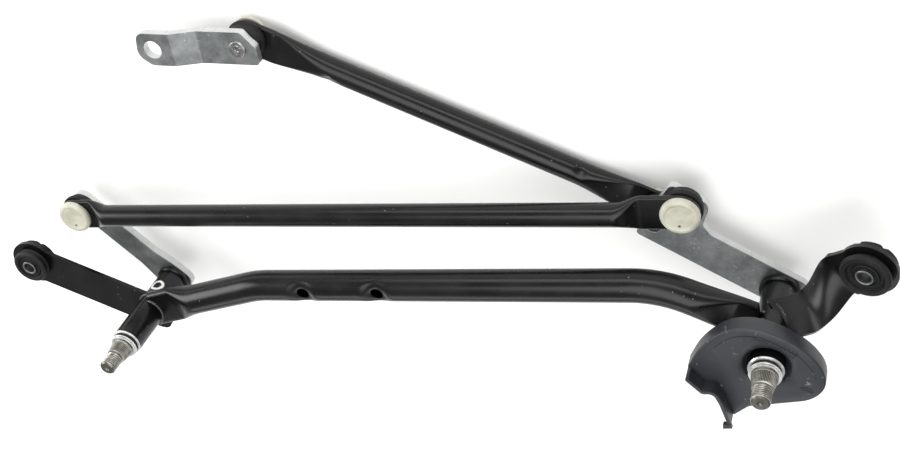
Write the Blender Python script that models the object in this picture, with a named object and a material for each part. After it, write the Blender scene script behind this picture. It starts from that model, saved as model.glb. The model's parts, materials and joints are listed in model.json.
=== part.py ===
"""Windshield wiper linkage: cross tube with two pivots, two levers, drag link, drive link, motor crank.

Row frame: origin in the middle of the left mounting bush, +X from the left pivot to the right pivot,
+Y away from the cross tube towards the motor crank, +Z along the spindles towards the wiper arms.
"""
import math

import bmesh
import bpy
from mathutils import Matrix, Vector

MM = 0.001

# ---- driving dimensions, millimetres ----
LEFT_PIVOT = Vector((93.0, -40.0, 0.0))
RIGHT_PIVOT = Vector((551.0, -40.0, 0.0))
SLEEVE_R = 11.0
SLEEVE_BORE_R = 9.1
SLEEVE_FRONT_Z = 44.0
SLEEVE_REAR_Z = {"left": -30.0, "right": -32.0}
SPINDLE_R = 7.0
BEARING_BORE_R = 7.09
BEARING_LEN = 14.0
CONE_BASE_Z = 49.7
CONE_TOP_Z = 59.6
CONE_BASE_R = 8.1
CONE_TOP_R = 6.5
THREAD_R = 5.9
TIP_Z = 72.0

LEVER_T = 6.0
LEVER_GAP = 1.5
RIGHT_LEVER_DEG = 145.5
LEVER_BALL = Vector((-53.5, 69.0, 0.0))
DRIVE_BALL = Vector((-74.5, 51.5, 0.0))
LEVER_HALF_W = 13.0
EAR_B = 33.5

BALL_R = 6.5
DRAG_BALL_Z = -24.0
DRIVE_BALL_Z = -49.0
CAVITY_R = {"snug": 6.75, "loose": 7.0}

LINK_D = 16.0
LINK_WALL = 1.4
LINK_FLAT_H = 3.8
LINK_FLAT_W = 25.0
LINK_PLATE_DZ = 2.0
LINK_AXIS_DZ = 4.5
SOCKET_HOLE_R = 9.8

TUBE_D = 22.0
TUBE_WALL = 1.6
TUBE_FLAT_H = 7.0
TUBE_FLAT_W = 29.0
TUBE_Z = 5.0

CRANK_BALL = Vector((218.5, 153.0, 0.0))
CRANK_HUB = Vector((157.8, 159.0, 0.0))
CRANK_STUD_Z = -40.0
CRANK_STEP = 6.0
CRANK_BORE_R = 6.4

BUSH_LEN = 18.0
BUSH_BORE_R = 4.25
BUSH_SLEEVE_R = 5.5
EYE_R = 18.0
EYE_HOLE_R = 12.3
STRAP_T = 3.0
RIGHT_EYE = Vector((608.5, 3.0, -1.5))
RIGHT_EYE_N = Vector((-0.27, -0.08, 0.96)).normalized()

SHIELD_Z = 41.0
SHIELD_T = 2.2

SEG = 24

for ob in list(bpy.data.objects):
    bpy.data.objects.remove(ob, do_unlink=True)

MATERIALS = {
    "black_coat": ((0.012, 0.012, 0.013), 0.0, 0.38),
    "zinc_plate": ((0.42, 0.43, 0.43), 0.85, 0.38),
    "spindle_steel": ((0.45, 0.44, 0.41), 1.0, 0.34),
    "bright_steel": ((0.62, 0.62, 0.61), 1.0, 0.22),
    "sintered_bronze": ((0.35, 0.24, 0.13), 0.9, 0.5),
    "nylon": ((0.62, 0.60, 0.47), 0.0, 0.42),
    "rubber": ((0.014, 0.014, 0.015), 0.0, 0.75),
    "shield_plastic": ((0.045, 0.050, 0.055), 0.0, 0.45),
}


def material(slot):
    mat = bpy.data.materials.get(slot)
    if mat is None:
        colour, metal, rough = MATERIALS[slot]
        mat = bpy.data.materials.new(slot)
        mat.use_nodes = True
        node = mat.node_tree.nodes["Principled BSDF"]
        node.inputs["Base Color"].default_value = (*colour, 1.0)
        node.inputs["Metallic"].default_value = metal
        node.inputs["Roughness"].default_value = rough
    return mat


def mesh_object(name, verts, faces, slot, origin):
    """A named object whose mesh is given in row millimetres and whose origin is at `origin`."""
    mesh = bpy.data.meshes.new(name)
    mesh.from_pydata([(Vector(v) - origin) * MM for v in verts], [], faces)
    bm = bmesh.new()
    bm.from_mesh(mesh)
    bmesh.ops.recalc_face_normals(bm, faces=bm.faces)
    bm.to_mesh(mesh)
    bm.free()
    ob = bpy.data.objects.new(name, mesh)
    ob.location = origin * MM
    mesh.materials.append(material(slot))
    bpy.context.scene.collection.objects.link(ob)
    return ob


def frame_to(axis_dir):
    """Rotation that takes +Z to a direction."""
    return Vector((0, 0, 1)).rotation_difference(axis_dir).to_matrix()


def lathe(name, profile, slot, at, origin=None, axis=Vector((0, 0, 1)), seg=SEG):
    """Revolve (r, z) points about an axis; the loop is closed, points at r = 0 become poles."""
    rot = frame_to(axis)
    verts, rings = [], []
    for r, z in profile:
        if r < 1e-6:
            rings.append([len(verts)])
            verts.append(at + rot @ Vector((0, 0, z)))
            continue
        ring = []
        for k in range(seg):
            a = 2 * math.pi * k / seg
            ring.append(len(verts))
            verts.append(at + rot @ Vector((r * math.cos(a), r * math.sin(a), z)))
        rings.append(ring)
    faces = []
    open_ends = len(rings[0]) == 1 and len(rings[-1]) == 1
    pairs = list(zip(rings, rings[1:])) + ([] if open_ends else [(rings[-1], rings[0])])
    for lo, hi in pairs:
        for k in range(seg):
            j = (k + 1) % seg
            if len(lo) == 1:
                faces.append((lo[0], hi[j], hi[k]))
            elif len(hi) == 1:
                faces.append((lo[k], lo[j], hi[0]))
            else:
                faces.append((lo[k], lo[j], hi[j], hi[k]))
    return mesh_object(name, verts, faces, slot, at if origin is None else origin)


def round_corners(points, steps=4):
    """Fillet a polygon given as (x, y, radius)."""
    out, n = [], len(points)
    for i in range(n):
        p = Vector(points[i][:2])
        a, b = Vector(points[i - 1][:2]) - p, Vector(points[(i + 1) % n][:2]) - p
        radius = points[i][2]
        if radius <= 0:
            out.append(p)
            continue
        half = a.angle(b) / 2
        reach = min(radius / math.tan(half), 0.49 * a.length, 0.49 * b.length)
        radius = reach * math.tan(half)
        a.normalize()
        b.normalize()
        centre = p + (a + b).normalized() * (radius / math.sin(half))
        start, end = p + a * reach - centre, p + b * reach - centre
        turn = start.angle_signed(end)
        for k in range(steps + 1):
            ang = -turn * k / steps
            c, s = math.cos(ang), math.sin(ang)
            out.append(centre + Vector((start.x * c - start.y * s, start.x * s + start.y * c)))
    return out


def prism(name, outline, z0, z1, slot, origin):
    verts = [Vector((p.x, p.y, z)) for z in (z0, z1) for p in outline]
    n = len(outline)
    faces = [tuple(range(n - 1, -1, -1)), tuple(range(n, 2 * n))]
    faces += [(k, (k + 1) % n, n + (k + 1) % n, n + k) for k in range(n)]
    return mesh_object(name, verts, faces, slot, origin)


def bevel(ob, width, segments=1):
    mod = ob.modifiers.new("edge_round", "BEVEL")
    mod.width = width * MM
    mod.segments = segments
    mod.limit_method = "ANGLE"
    mod.angle_limit = math.radians(50)


def boolean(ob, tool, operation):
    mod = ob.modifiers.new(operation.lower(), "BOOLEAN")
    mod.operation = operation
    mod.solver = "EXACT"
    mod.object = tool
    tool.hide_render = True
    tool.display_type = "WIRE"


def rod(name, r, at, z0, z1, axis=Vector((0, 0, 1)), seg=SEG):
    """A plain cylinder used as a cutter or as a joined piece."""
    return lathe(name, [(0, z0), (r, z0), (r, z1), (0, z1)], "black_coat", at, axis=axis, seg=seg)


def section(w, h, n):
    """Round-ended flat section of width w and height h; a circle when they are equal."""
    pts = []
    for k in range(n):
        a = 2 * math.pi * (k + 0.5) / n
        c, s = math.cos(a), math.sin(a)
        pts.append((0.5 * h * c + math.copysign((w - h) / 2, c), 0.5 * h * s))
    return pts


def formed_tube(name, stations, wall, slot, origin, n=16):
    """Hollow tube through (centre, side, width, height) stations, open at both ends."""
    up = Vector((0, 0, 1))
    verts = []
    for centre, side, w, h in stations:
        for inset in (0.0, wall):
            for x, z in section(w - 2 * inset, h - 2 * inset, n):
                verts.append(centre + side * x + up * z)
    faces, last = [], len(stations) - 1
    for i in range(last):
        a, b = i * 2 * n, (i + 1) * 2 * n
        for k in range(n):
            j = (k + 1) % n
            faces.append((a + k, a + j, b + j, b + k))
            faces.append((a + n + k, b + n + k, b + n + j, a + n + j))
    for i in (0, last):
        a = i * 2 * n
        faces += [(a + k, a + n + k, a + n + (k + 1) % n, a + (k + 1) % n) for k in range(n)]
    return mesh_object(name, verts, faces, slot, origin)


def smooth(t):
    t = min(1.0, max(0.0, t))
    return t * t * (3 - 2 * t)


# ---------------------------------------------------------------- pivots
def sleeve_and_bearings(side, pivot):
    rear = SLEEVE_REAR_Z[side]
    lathe(f"{side}_pivot_sleeve", [
        (SLEEVE_BORE_R, rear), (SLEEVE_R - 0.6, rear), (SLEEVE_R, rear + 0.6),
        (SLEEVE_R, SLEEVE_FRONT_Z - 0.6), (SLEEVE_R - 0.6, SLEEVE_FRONT_Z),
        (SLEEVE_BORE_R, SLEEVE_FRONT_Z)], "black_coat", pivot)
    for place, z0 in (("rear", rear + 0.5), ("front", SLEEVE_FRONT_Z - BEARING_LEN - 0.5)):
        lathe(f"{side}_{place}_bearing", [
            (BEARING_BORE_R, z0), (SLEEVE_BORE_R - 0.1, z0), (SLEEVE_BORE_R - 0.1, z0 + BEARING_LEN),
            (BEARING_BORE_R, z0 + BEARING_LEN)], "sintered_bronze", pivot)


def spindle_group(side, pivot):
    rear = SLEEVE_REAR_Z[side]
    lever_front = rear - LEVER_GAP
    lever_rear = lever_front - LEVER_T
    body = [(0, lever_rear - 2.2), (7.4, lever_rear - 2.2), (8.6, lever_rear - 1.2),
            (8.6, lever_rear - 0.2), (6.4, lever_rear - 0.2), (6.4, lever_front + 0.1),
            (SPINDLE_R, lever_front + 0.1), (SPINDLE_R, 47.7), (6.4, 47.7), (6.4, 49.1),
            (SPINDLE_R, 49.1), (CONE_BASE_R, CONE_BASE_Z), (CONE_BASE_R, CONE_BASE_Z + 0.6),
            (CONE_TOP_R, CONE_TOP_Z), (5.3, CONE_TOP_Z + 0.5)]
    pitch, z = 2.4, CONE_TOP_Z + 0.9
    while z + pitch < TIP_Z - 1.0:
        body += [(THREAD_R - 0.75, z), (THREAD_R, z + 0.45 * pitch), (THREAD_R, z + 0.6 * pitch)]
        z += pitch
    body += [(THREAD_R - 0.75, z), (THREAD_R - 0.4, z + 0.4), (THREAD_R - 1.3, TIP_Z), (0, TIP_Z)]
    lathe(f"{side}_spindle", body, "spindle_steel", pivot)
    lathe(f"{side}_rear_washer", [
        (7.25, lever_front + 0.2), (10.4, lever_front + 0.2), (10.4, rear - 0.2), (7.25, rear - 0.2)],
        "bright_steel", pivot)
    ring = [(8.4 + 1.1 * math.cos(a), SLEEVE_FRONT_Z + 1.4 + 1.1 * math.sin(a))
            for a in (2 * math.pi * k / 6 for k in range(6))]
    lathe(f"{side}_o_ring", ring, "rubber", pivot)
    lathe(f"{side}_front_washer", [
        (7.25, 46.6), (10.0, 46.6), (10.0, 47.6), (7.25, 47.6)], "bright_steel", pivot)
    inner, outer, n = 6.65, 9.3, 26
    arc = [math.radians(-70 + 320 * k / n) for k in range(n + 1)]
    clip = [Vector((outer * math.cos(a), outer * math.sin(a))) for a in arc]
    clip += [Vector((inner * math.cos(a), inner * math.sin(a))) for a in reversed(arc)]
    prism(f"{side}_circlip", [p + pivot.xy for p in clip], 47.9, 48.9, "bright_steel", pivot)
    return lever_front


def ball_stud(name, ball, face, away, plate_t, slot_origin):
    """Ball stud standing off a plate: `face` is the plate's z on the ball's side, away is +1 or -1."""
    h = abs(ball.z - face)
    back = -h - plate_t
    profile = [(0, back - 1.9), (5.3, back - 1.9), (6.3, back - 1.0), (6.3, back - 0.2),
               (4.7, back - 0.2), (4.7, -h + 0.2), (7.4, -h + 0.2), (7.4, -h + 1.1)]
    neck = 4.2
    start = -math.asin(math.sqrt(1 - (neck / BALL_R) ** 2))
    profile += [(neck, min(-h + 1.6, BALL_R * math.sin(start) - 0.2))]
    steps = 6
    for k in range(steps):
        a = start + (math.pi / 2 - start) * k / steps
        profile.append((BALL_R * math.cos(a), BALL_R * math.sin(a)))
    profile.append((0, BALL_R))
    lathe(name, profile, "bright_steel", ball, slot_origin, Vector((0, 0, away)), seg=18)


def lever(side, pivot, outline, angle, lever_front, balls):
    rot = Matrix.Rotation(math.radians(angle), 3, "Z")
    shape = [(rot @ Vector((p.x, p.y, 0)) + pivot).xy for p in round_corners(outline)]
    z0 = lever_front - LEVER_T
    ob = prism(f"{side}_lever", shape, z0, lever_front, "zinc_plate", pivot)
    bevel(ob, 0.6)
    boolean(ob, rod(f"cut_{side}_spindle", 6.6, pivot, z0 - 2, lever_front + 2), "DIFFERENCE")
    for i, at in enumerate(balls):
        cut = rod(f"cut_{side}_stud_{i}", 4.9, pivot + at, z0 - 2, lever_front + 2, seg=28)
        boolean(ob, cut, "DIFFERENCE")


sleeve_and_bearings("left", LEFT_PIVOT)
sleeve_and_bearings("right", RIGHT_PIVOT)
left_front = spindle_group("left", LEFT_PIVOT)
right_front = spindle_group("right", RIGHT_PIVOT)

reach = LEVER_BALL.length
lever("left", LEFT_PIVOT, [
    (-13, -12.5, 8), (9, -12.5, 8), (26, -9.8, 12), (reach + 11, -9.8, 7), (reach + 11, 9.8, 7),
    (26, 9.8, 12), (9, 12.5, 8), (-13, 12.5, 8)],
    math.degrees(math.atan2(LEVER_BALL.y, LEVER_BALL.x)), left_front, [LEVER_BALL])
lever("right", RIGHT_PIVOT, [
    (-15, -LEVER_HALF_W, 6), (57, -LEVER_HALF_W, 6), (65, -17, 4), (68, -EAR_B, 7),
    (96.5, -EAR_B, 4), (98, -13, 30), (98, LEVER_HALF_W, 3), (-15, LEVER_HALF_W, 6)],
    RIGHT_LEVER_DEG, right_front, [LEVER_BALL, DRIVE_BALL])

left_ball = LEFT_PIVOT + LEVER_BALL + Vector((0, 0, DRAG_BALL_Z))
right_ball = RIGHT_PIVOT + LEVER_BALL + Vector((0, 0, DRAG_BALL_Z))
drive_ball = RIGHT_PIVOT + DRIVE_BALL + Vector((0, 0, DRIVE_BALL_Z))
crank_ball = CRANK_BALL + Vector((0, 0, DRIVE_BALL_Z))
ball_stud("left_ball_stud", left_ball, left_front, 1, LEVER_T, LEFT_PIVOT)
ball_stud("right_drag_stud", right_ball, right_front, 1, LEVER_T, RIGHT_PIVOT)
ball_stud("right_drive_stud", drive_ball, right_front - LEVER_T, -1, LEVER_T, RIGHT_PIVOT)
ball_stud("crank_ball_stud", crank_ball, CRANK_STUD_Z, -1, LEVER_T, crank_ball)


# ---------------------------------------------------------------- links
def socket(name, ball, away, cavity, origin):
    """Nylon cup snapped through the flattened tube end; `away` points to its closed cap."""
    mouth = -3.4
    steps = 6
    profile = [(0, cavity)]
    start = math.asin(mouth / cavity)
    for k in range(1, steps + 1):
        a = math.pi / 2 + (start - math.pi / 2) * k / steps
        profile.append((cavity * math.cos(a), cavity * math.sin(a)))
    profile += [(7.2, -4.3), (9.0, -4.3), (10.1, -1.7), (10.1, -0.5), (9.4, -0.2), (9.4, 4.25),
                (12.7, 4.25), (12.7, 6.4), (12.2, 7.6), (10.8, 8.4), (0, 8.6)]
    lathe(name, profile, "nylon", ball, origin, Vector((0, 0, away)), seg=20)


def seal(name, ball, away, h, origin):
    """Rubber dust ring between the tube end and the lever face."""
    lathe(name, [(10.6, -0.2), (13.2, -0.2), (13.7, -1.6), (13.2, -3.4), (12.2, -4.6),
                 (12.0, -h + 0.4), (8.4, -h + 0.4), (8.4, -h + 1.4), (10.6, -4.7)],
          "rubber", ball, origin, Vector((0, 0, away)), seg=20)


def link(name, a, b, away, origin):
    """Tube flattened at both ends around the ball centres a and b."""
    side_dir = (b - a).normalized()
    side = Vector((-side_dir.y, side_dir.x, 0)).normalized()
    length = (b - a).length
    r_end = LINK_FLAT_W / 2
    marks = [-r_end + 0.35, -r_end + 1.8, -r_end + 5.5, 0, 18]
    marks += [18 + 42 * k / 5 for k in range(1, 6)]
    marks = marks + [length - m for m in reversed(marks)]
    stations = []
    for s in marks:
        near = min(s, length - s)
        t = smooth((near - 18) / 42)
        w = LINK_FLAT_W + (LINK_D - LINK_FLAT_W) * t
        h = LINK_FLAT_H + (LINK_D - LINK_FLAT_H) * t
        if near < 0:
            w = 2 * math.sqrt(max(r_end ** 2 - near ** 2, 2.6 ** 2))
            w = max(w, LINK_FLAT_H + 0.4)
        z = away * (LINK_PLATE_DZ + (LINK_AXIS_DZ - LINK_PLATE_DZ) * t)
        stations.append((a + side_dir * s + Vector((0, 0, z)), side, w, h))
    ob = formed_tube(name, stations, LINK_WALL, "black_coat", origin)
    for i, ball in enumerate((a, b)):
        boolean(ob, rod(f"cut_{name}_{i}", SOCKET_HOLE_R, ball, -12, 12, seg=36), "DIFFERENCE")


link("drag_link_tube", left_ball, right_ball, 1, right_ball)
socket("drag_left_socket", left_ball, 1, CAVITY_R["loose"], right_ball)
socket("drag_right_socket", right_ball, 1, CAVITY_R["snug"], right_ball)
seal("drag_left_seal", left_ball, 1, left_ball.z - left_front, right_ball)
seal("drag_right_seal", right_ball, 1, right_ball.z - right_front, right_ball)
link("drive_link_tube", crank_ball, drive_ball, -1, drive_ball)
socket("drive_left_socket", crank_ball, -1, CAVITY_R["snug"], drive_ball)
socket("drive_right_socket", drive_ball, -1, CAVITY_R["snug"], drive_ball)
seal("drive_left_seal", crank_ball, -1, CRANK_STUD_Z - crank_ball.z, drive_ball)
seal("drive_right_seal", drive_ball, -1, right_front - LEVER_T - drive_ball.z, drive_ball)


# ---------------------------------------------------------------- motor crank
def motor_crank():
    """Plate arm with a joggle between its ball stud and its tapered hub hole."""
    along = (CRANK_HUB - CRANK_BALL).normalized()
    side = Vector((-along.y, along.x, 0))
    length = (CRANK_HUB - CRANK_BALL).length
    stations = []
    for s in (-16, 20, 28, 33, 37, 41, 46, length + 16):
        z = CRANK_STUD_Z + CRANK_STEP * smooth((s - 28) / 18)
        stations.append((s, z))
    verts = []
    for s, z in stations:
        base = CRANK_BALL + along * s
        for w, dz in ((-16, 0), (16, 0), (16, LEVER_T), (-16, LEVER_T)):
            verts.append(base + side * w + Vector((0, 0, z + dz)))
    faces = [(0, 1, 2, 3), tuple(len(verts) - 4 + k for k in (3, 2, 1, 0))]
    for i in range(len(stations) - 1):
        a, b = 4 * i, 4 * i + 4
        faces += [(a + k, b + k, b + (k + 1) % 4, a + (k + 1) % 4) for k in range(4)]
    ob = mesh_object("motor_crank_arm", verts, faces, "zinc_plate", crank_ball)
    outline = [(-13, -1, 4), (-13, 12, 2), (length + 3, 12, 7), (length + 13, 5, 9),
               (length + 10, -12, 6), (-4, -12, 3)]
    rot = Matrix.Rotation(math.atan2(along.y, along.x), 3, "Z")
    shape = [(rot @ Vector((p.x, p.y, 0)) + CRANK_BALL).xy for p in round_corners(outline)]
    boolean(ob, prism("trim_crank", shape, -60, -10, "zinc_plate", crank_ball), "INTERSECT")
    boolean(ob, rod("cut_crank_stud", 4.9, CRANK_BALL, -45, -28, seg=28), "DIFFERENCE")
    boolean(ob, rod("cut_crank_hub", CRANK_BORE_R, CRANK_HUB, -45, -20), "DIFFERENCE")


motor_crank()


# ---------------------------------------------------------------- cross tube
def filleted_path(points, radius, steps=5):
    """Polyline with its inner corners replaced by arcs."""
    out = [points[0]]
    for p, q, r in zip(points, points[1:], points[2:]):
        a, b = (p - q).normalized(), (r - q).normalized()
        reach = radius / math.tan(a.angle(b) / 2)
        start, end = q + a * reach, q + b * reach
        for k in range(steps + 1):
            t = k / steps
            out.append(start * (1 - t) ** 2 + q * 2 * t * (1 - t) + end * t * t)
    return out + [points[-1]]


def cross_tube():
    centre = Vector((0, 0, TUBE_Z))
    corners = [LEFT_PIVOT + centre, Vector((194, -14.7, TUBE_Z)), Vector((484, -7.7, TUBE_Z)),
               RIGHT_PIVOT + centre]
    path = filleted_path(corners, 80)
    flat_len, blend_len = 22.0, 34.0
    total = sum((q - p).length for p, q in zip(path, path[1:]))
    fine, run = [], 0.0
    for p, q in zip(path, path[1:]):
        gap = (q - p).length
        cuts = max(1, round(gap / 13)) if min(run, total - run - gap) < 62 else 1
        fine += [(p.lerp(q, k / cuts), run + gap * k / cuts, (q - p).normalized()) for k in range(cuts)]
        run += gap
    fine.append((path[-1], total, (path[-1] - path[-2]).normalized()))
    stations = []
    for i, (p, s, d) in enumerate(fine):
        if i:
            d = (d + fine[i - 1][2]).normalized() if i < len(fine) - 1 else d
        side = Vector((-d.y, d.x, 0)).normalized()
        t = smooth((min(s, total - s) - flat_len) / blend_len)
        w = TUBE_FLAT_W + (TUBE_D - TUBE_FLAT_W) * t
        h = TUBE_FLAT_H + (TUBE_D - TUBE_FLAT_H) * t
        stations.append((p, side, w, h))
    ob = formed_tube("cross_tube", stations, TUBE_WALL, "black_coat", LEFT_PIVOT, n=20)
    left, right = LEFT_PIVOT.x + 3, RIGHT_PIVOT.x
    trims = {"left": ((left - 60, -90), (left, -90), (left, 10), (left - 60, 10)),
             "right": ((right + 0.5, -90), (right + 60, -90), (right + 60, 10), (right - 7.3, 10),
                       (right - 7.3, -36), (right + 0.5, -36))}
    for side, pivot in (("left", LEFT_PIVOT), ("right", RIGHT_PIVOT)):
        boolean(ob, rod(f"cut_tube_{side}", SLEEVE_R + 0.3, pivot, -60, 60), "DIFFERENCE")
        box = [Vector(p) for p in trims[side]]
        boolean(ob, prism(f"trim_tube_{side}", box, -60, 60, "black_coat", pivot), "DIFFERENCE")


cross_tube()


# ---------------------------------------------------------------- brackets and bushes
def left_bracket():
    along = Vector((0.893, -0.450)).normalized()
    side = Vector((-along.y, along.x))
    end = LEFT_PIVOT.xy.dot(along)
    pts = []
    for k in range(17):
        a = math.radians(57 + 246 * k / 16)
        pts.append(along * EYE_R * math.cos(a) + side * EYE_R * math.sin(a))
    pts += [along * 24 - side * 15, along * (end - 4) - side * 15, along * (end + 5) - side * 12,
            along * (end + 7) - side * 6, along * (end + 2) + side * 14, along * (end - 8) + side * 15,
            along * 24 + side * 15]
    ob = prism("left_bracket", pts, -STRAP_T / 2, STRAP_T / 2, "black_coat", LEFT_PIVOT)
    boolean(ob, rod("cut_left_eye", EYE_HOLE_R, Vector((0, 0, 0)), -9, 9), "DIFFERENCE")
    boolean(ob, rod("cut_left_strap", SLEEVE_R + 0.3, LEFT_PIVOT, -30, 30), "DIFFERENCE")


def right_bracket():
    """Strap that stands on edge at the sleeve and turns flat at its eye."""
    n = RIGHT_EYE_N
    d = Vector((0.85, 0.45, 0.0))
    d = (d - n * d.dot(n)).normalized()
    m = n.cross(d)
    eye = RIGHT_EYE
    rel = RIGHT_PIVOT
    edges = [(Vector((-6, 12.9, -18)), Vector((-6, 12.9, 16))),
             (Vector((3, 12.9, -18)), Vector((5, 12.9, 17))),
             (Vector((13, 15.0, -17)), Vector((16, 10.5, 16.5))),
             (Vector((20.5, 22.0, -14.5)), Vector((27, 7.5, 9.5))),
             (Vector((28.4, 37.0, -12.5)), Vector((36, 11.5, 3.5)))]
    edges = [(rel + p, rel + q) for p, q in edges]
    for back, half in ((21, 15.2), (16, 15.6), (8, 16.0)):
        mid = eye - d * back
        edges.append((mid + m * half, mid - m * half))
    fine = []
    for i in range(len(edges) - 1):
        quad = [edges[max(0, min(len(edges) - 1, i + k))] for k in (-1, 0, 1, 2)]
        for k in range(4):
            t = k / 4
            pair = []
            for e in (0, 1):
                p0, p1, p2, p3 = (q[e] for q in quad)
                pair.append(0.5 * ((2 * p1) + (p2 - p0) * t + (2 * p0 - 5 * p1 + 4 * p2 - p3) * t * t
                                   + (3 * p1 - p0 - 3 * p2 + p3) * t ** 3))
            fine.append(pair)
    fine.append(edges[-1])
    verts, cols = [], 5
    for i, (p, q) in enumerate(fine):
        nxt, prv = fine[min(i + 1, len(fine) - 1)], fine[max(i - 1, 0)]
        for face in (-0.5, 0.5):
            for c in range(cols):
                t = c / (cols - 1)
                point = p.lerp(q, t)
                run = nxt[0].lerp(nxt[1], t) - prv[0].lerp(prv[1], t)
                normal = run.cross(q - p).normalized()
                verts.append(point + normal * STRAP_T * face)
    faces, row = [], 2 * cols
    for i in range(len(fine) - 1):
        a, b = i * row, (i + 1) * row
        for c in range(cols - 1):
            faces.append((a + c, a + c + 1, b + c + 1, b + c))
            faces.append((a + cols + c, b + cols + c, b + cols + c + 1, a + cols + c + 1))
        for c in (0, cols - 1):
            faces.append((a + c, b + c, b + cols + c, a + cols + c))
    for a in (0, (len(fine) - 1) * row):
        faces += [(a + c, a + c + 1, a + cols + c + 1, a + cols + c) for c in range(cols - 1)]
    ob = mesh_object("right_bracket", verts, faces, "black_coat", RIGHT_PIVOT)
    disc = rod("join_right_eye", EYE_R, eye, -STRAP_T / 2 + 0.02, STRAP_T / 2 - 0.02, n)
    boolean(ob, disc, "UNION")
    boolean(ob, rod("cut_right_eye", EYE_HOLE_R, eye, -9, 9, n), "DIFFERENCE")
    boolean(ob, rod("cut_right_strap", SLEEVE_R + 0.3, RIGHT_PIVOT, -40, 40), "DIFFERENCE")


def bush(side, at, axis):
    half = BUSH_LEN / 2
    lathe(f"{side}_bush_sleeve", [
        (BUSH_BORE_R, -half), (BUSH_SLEEVE_R, -half), (BUSH_SLEEVE_R, half), (BUSH_BORE_R, half)],
        "bright_steel", at, axis=axis)
    lathe(f"{side}_bush_rubber", [
        (5.8, -7.6), (13.8, -7.6), (15.8, -6.0), (15.4, -2.0),
        (EYE_HOLE_R - 0.3, -2.0), (EYE_HOLE_R - 0.3, 2.0), (13.4, 2.1), (13.0, 4.4),
        (15.4, 5.2), (15.4, 7.2), (14.0, 8.4), (11.2, 8.4), (10.4, 7.6), (5.8, 7.6)],
        "rubber", at, axis=axis)


left_bracket()
right_bracket()
bush("left", Vector((0, 0, 0)), Vector((0, 0, 1)))
bush("right", RIGHT_EYE, RIGHT_EYE_N)


# ---------------------------------------------------------------- spindle shield
def wall(path, thick, z0, z1, name):
    """Thin wall along an open path, built inward on its right-hand side."""
    inner = []
    for i, p in enumerate(path):
        a = path[max(i - 1, 0)]
        b = path[min(i + 1, len(path) - 1)]
        d = (b - a).normalized()
        inner.append(p + Vector((d.y, -d.x)) * thick)
    return prism(name, path + inner[::-1], z0, z1, "shield_plastic", RIGHT_PIVOT)


def spindle_shield():
    top, t = SHIELD_Z, SHIELD_T
    outline = [(-47, -3, 3), (-27, 24, 16), (-9, 30.5, 12), (8, 23, 14), (26, 9, 16), (33.5, -10, 14),
               (24.5, -24.5, 10), (-2, -31, 14), (-13, -33, 8), (-24.5, -42.5, 2), (-28.5, -23, 3),
               (-31.5, -14, 6), (-38.5, -14.5, 3)]
    shape = [p + RIGHT_PIVOT.xy for p in round_corners(outline[::-1])][::-1]
    ob = prism("spindle_shield", shape, top - t, top, "shield_plastic", RIGHT_PIVOT)
    start = min(range(len(shape)), key=lambda i: (shape[i] - RIGHT_PIVOT.xy - Vector((-48, -4))).length)
    ring = shape[start:] + shape[:start]
    stop = min(range(len(ring)), key=lambda i: (ring[i] - RIGHT_PIVOT.xy - Vector((24, -24))).length)
    boolean(ob, wall(ring[:stop + 1], t, top - 12, top - 0.4, "join_skirt"), "UNION")
    corner = RIGHT_PIVOT.xy + Vector((-24.5, -42.5))
    notch = max(i for i in range(len(ring)) if (ring[i] - corner).length < 4)
    lower = ring[notch:] + ring[:2]
    boolean(ob, wall(lower, t, top - t + 0.4, top + 9, "join_notch"), "UNION")
    collar = lathe("join_collar", [
        (10.0, top - 8), (12.6, top - 8), (14.4, top - 1), (15.4, top + 0.9), (14.4, top + 1.4),
        (10.0, top + 1.4)], "shield_plastic", RIGHT_PIVOT)
    boolean(ob, collar, "UNION")
    bore = lathe("cut_collar", [
        (0, top - 20), (SLEEVE_R + 0.3, top - 20), (SLEEVE_R + 0.3, top - 5.5), (13.2, top + 0.6),
        (13.8, top + 6), (0, top + 6)], "shield_plastic", RIGHT_PIVOT)
    boolean(ob, bore, "DIFFERENCE")


spindle_shield()
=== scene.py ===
# %% [markdown]
# # A car's windshield wiper linkage
#
# This lesson dresses a working mechanical model: a steel cross tube that carries two wiper spindles,
# the levers and ball-jointed links that turn them, and the motor's crank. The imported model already
# fixes every size and every joint. Each cell below makes one real piece of the linkage at full detail,
# and says how it was made and why that way was chosen.

import json
import math

import bmesh
import bpy
from mathutils import Matrix, Vector


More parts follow.
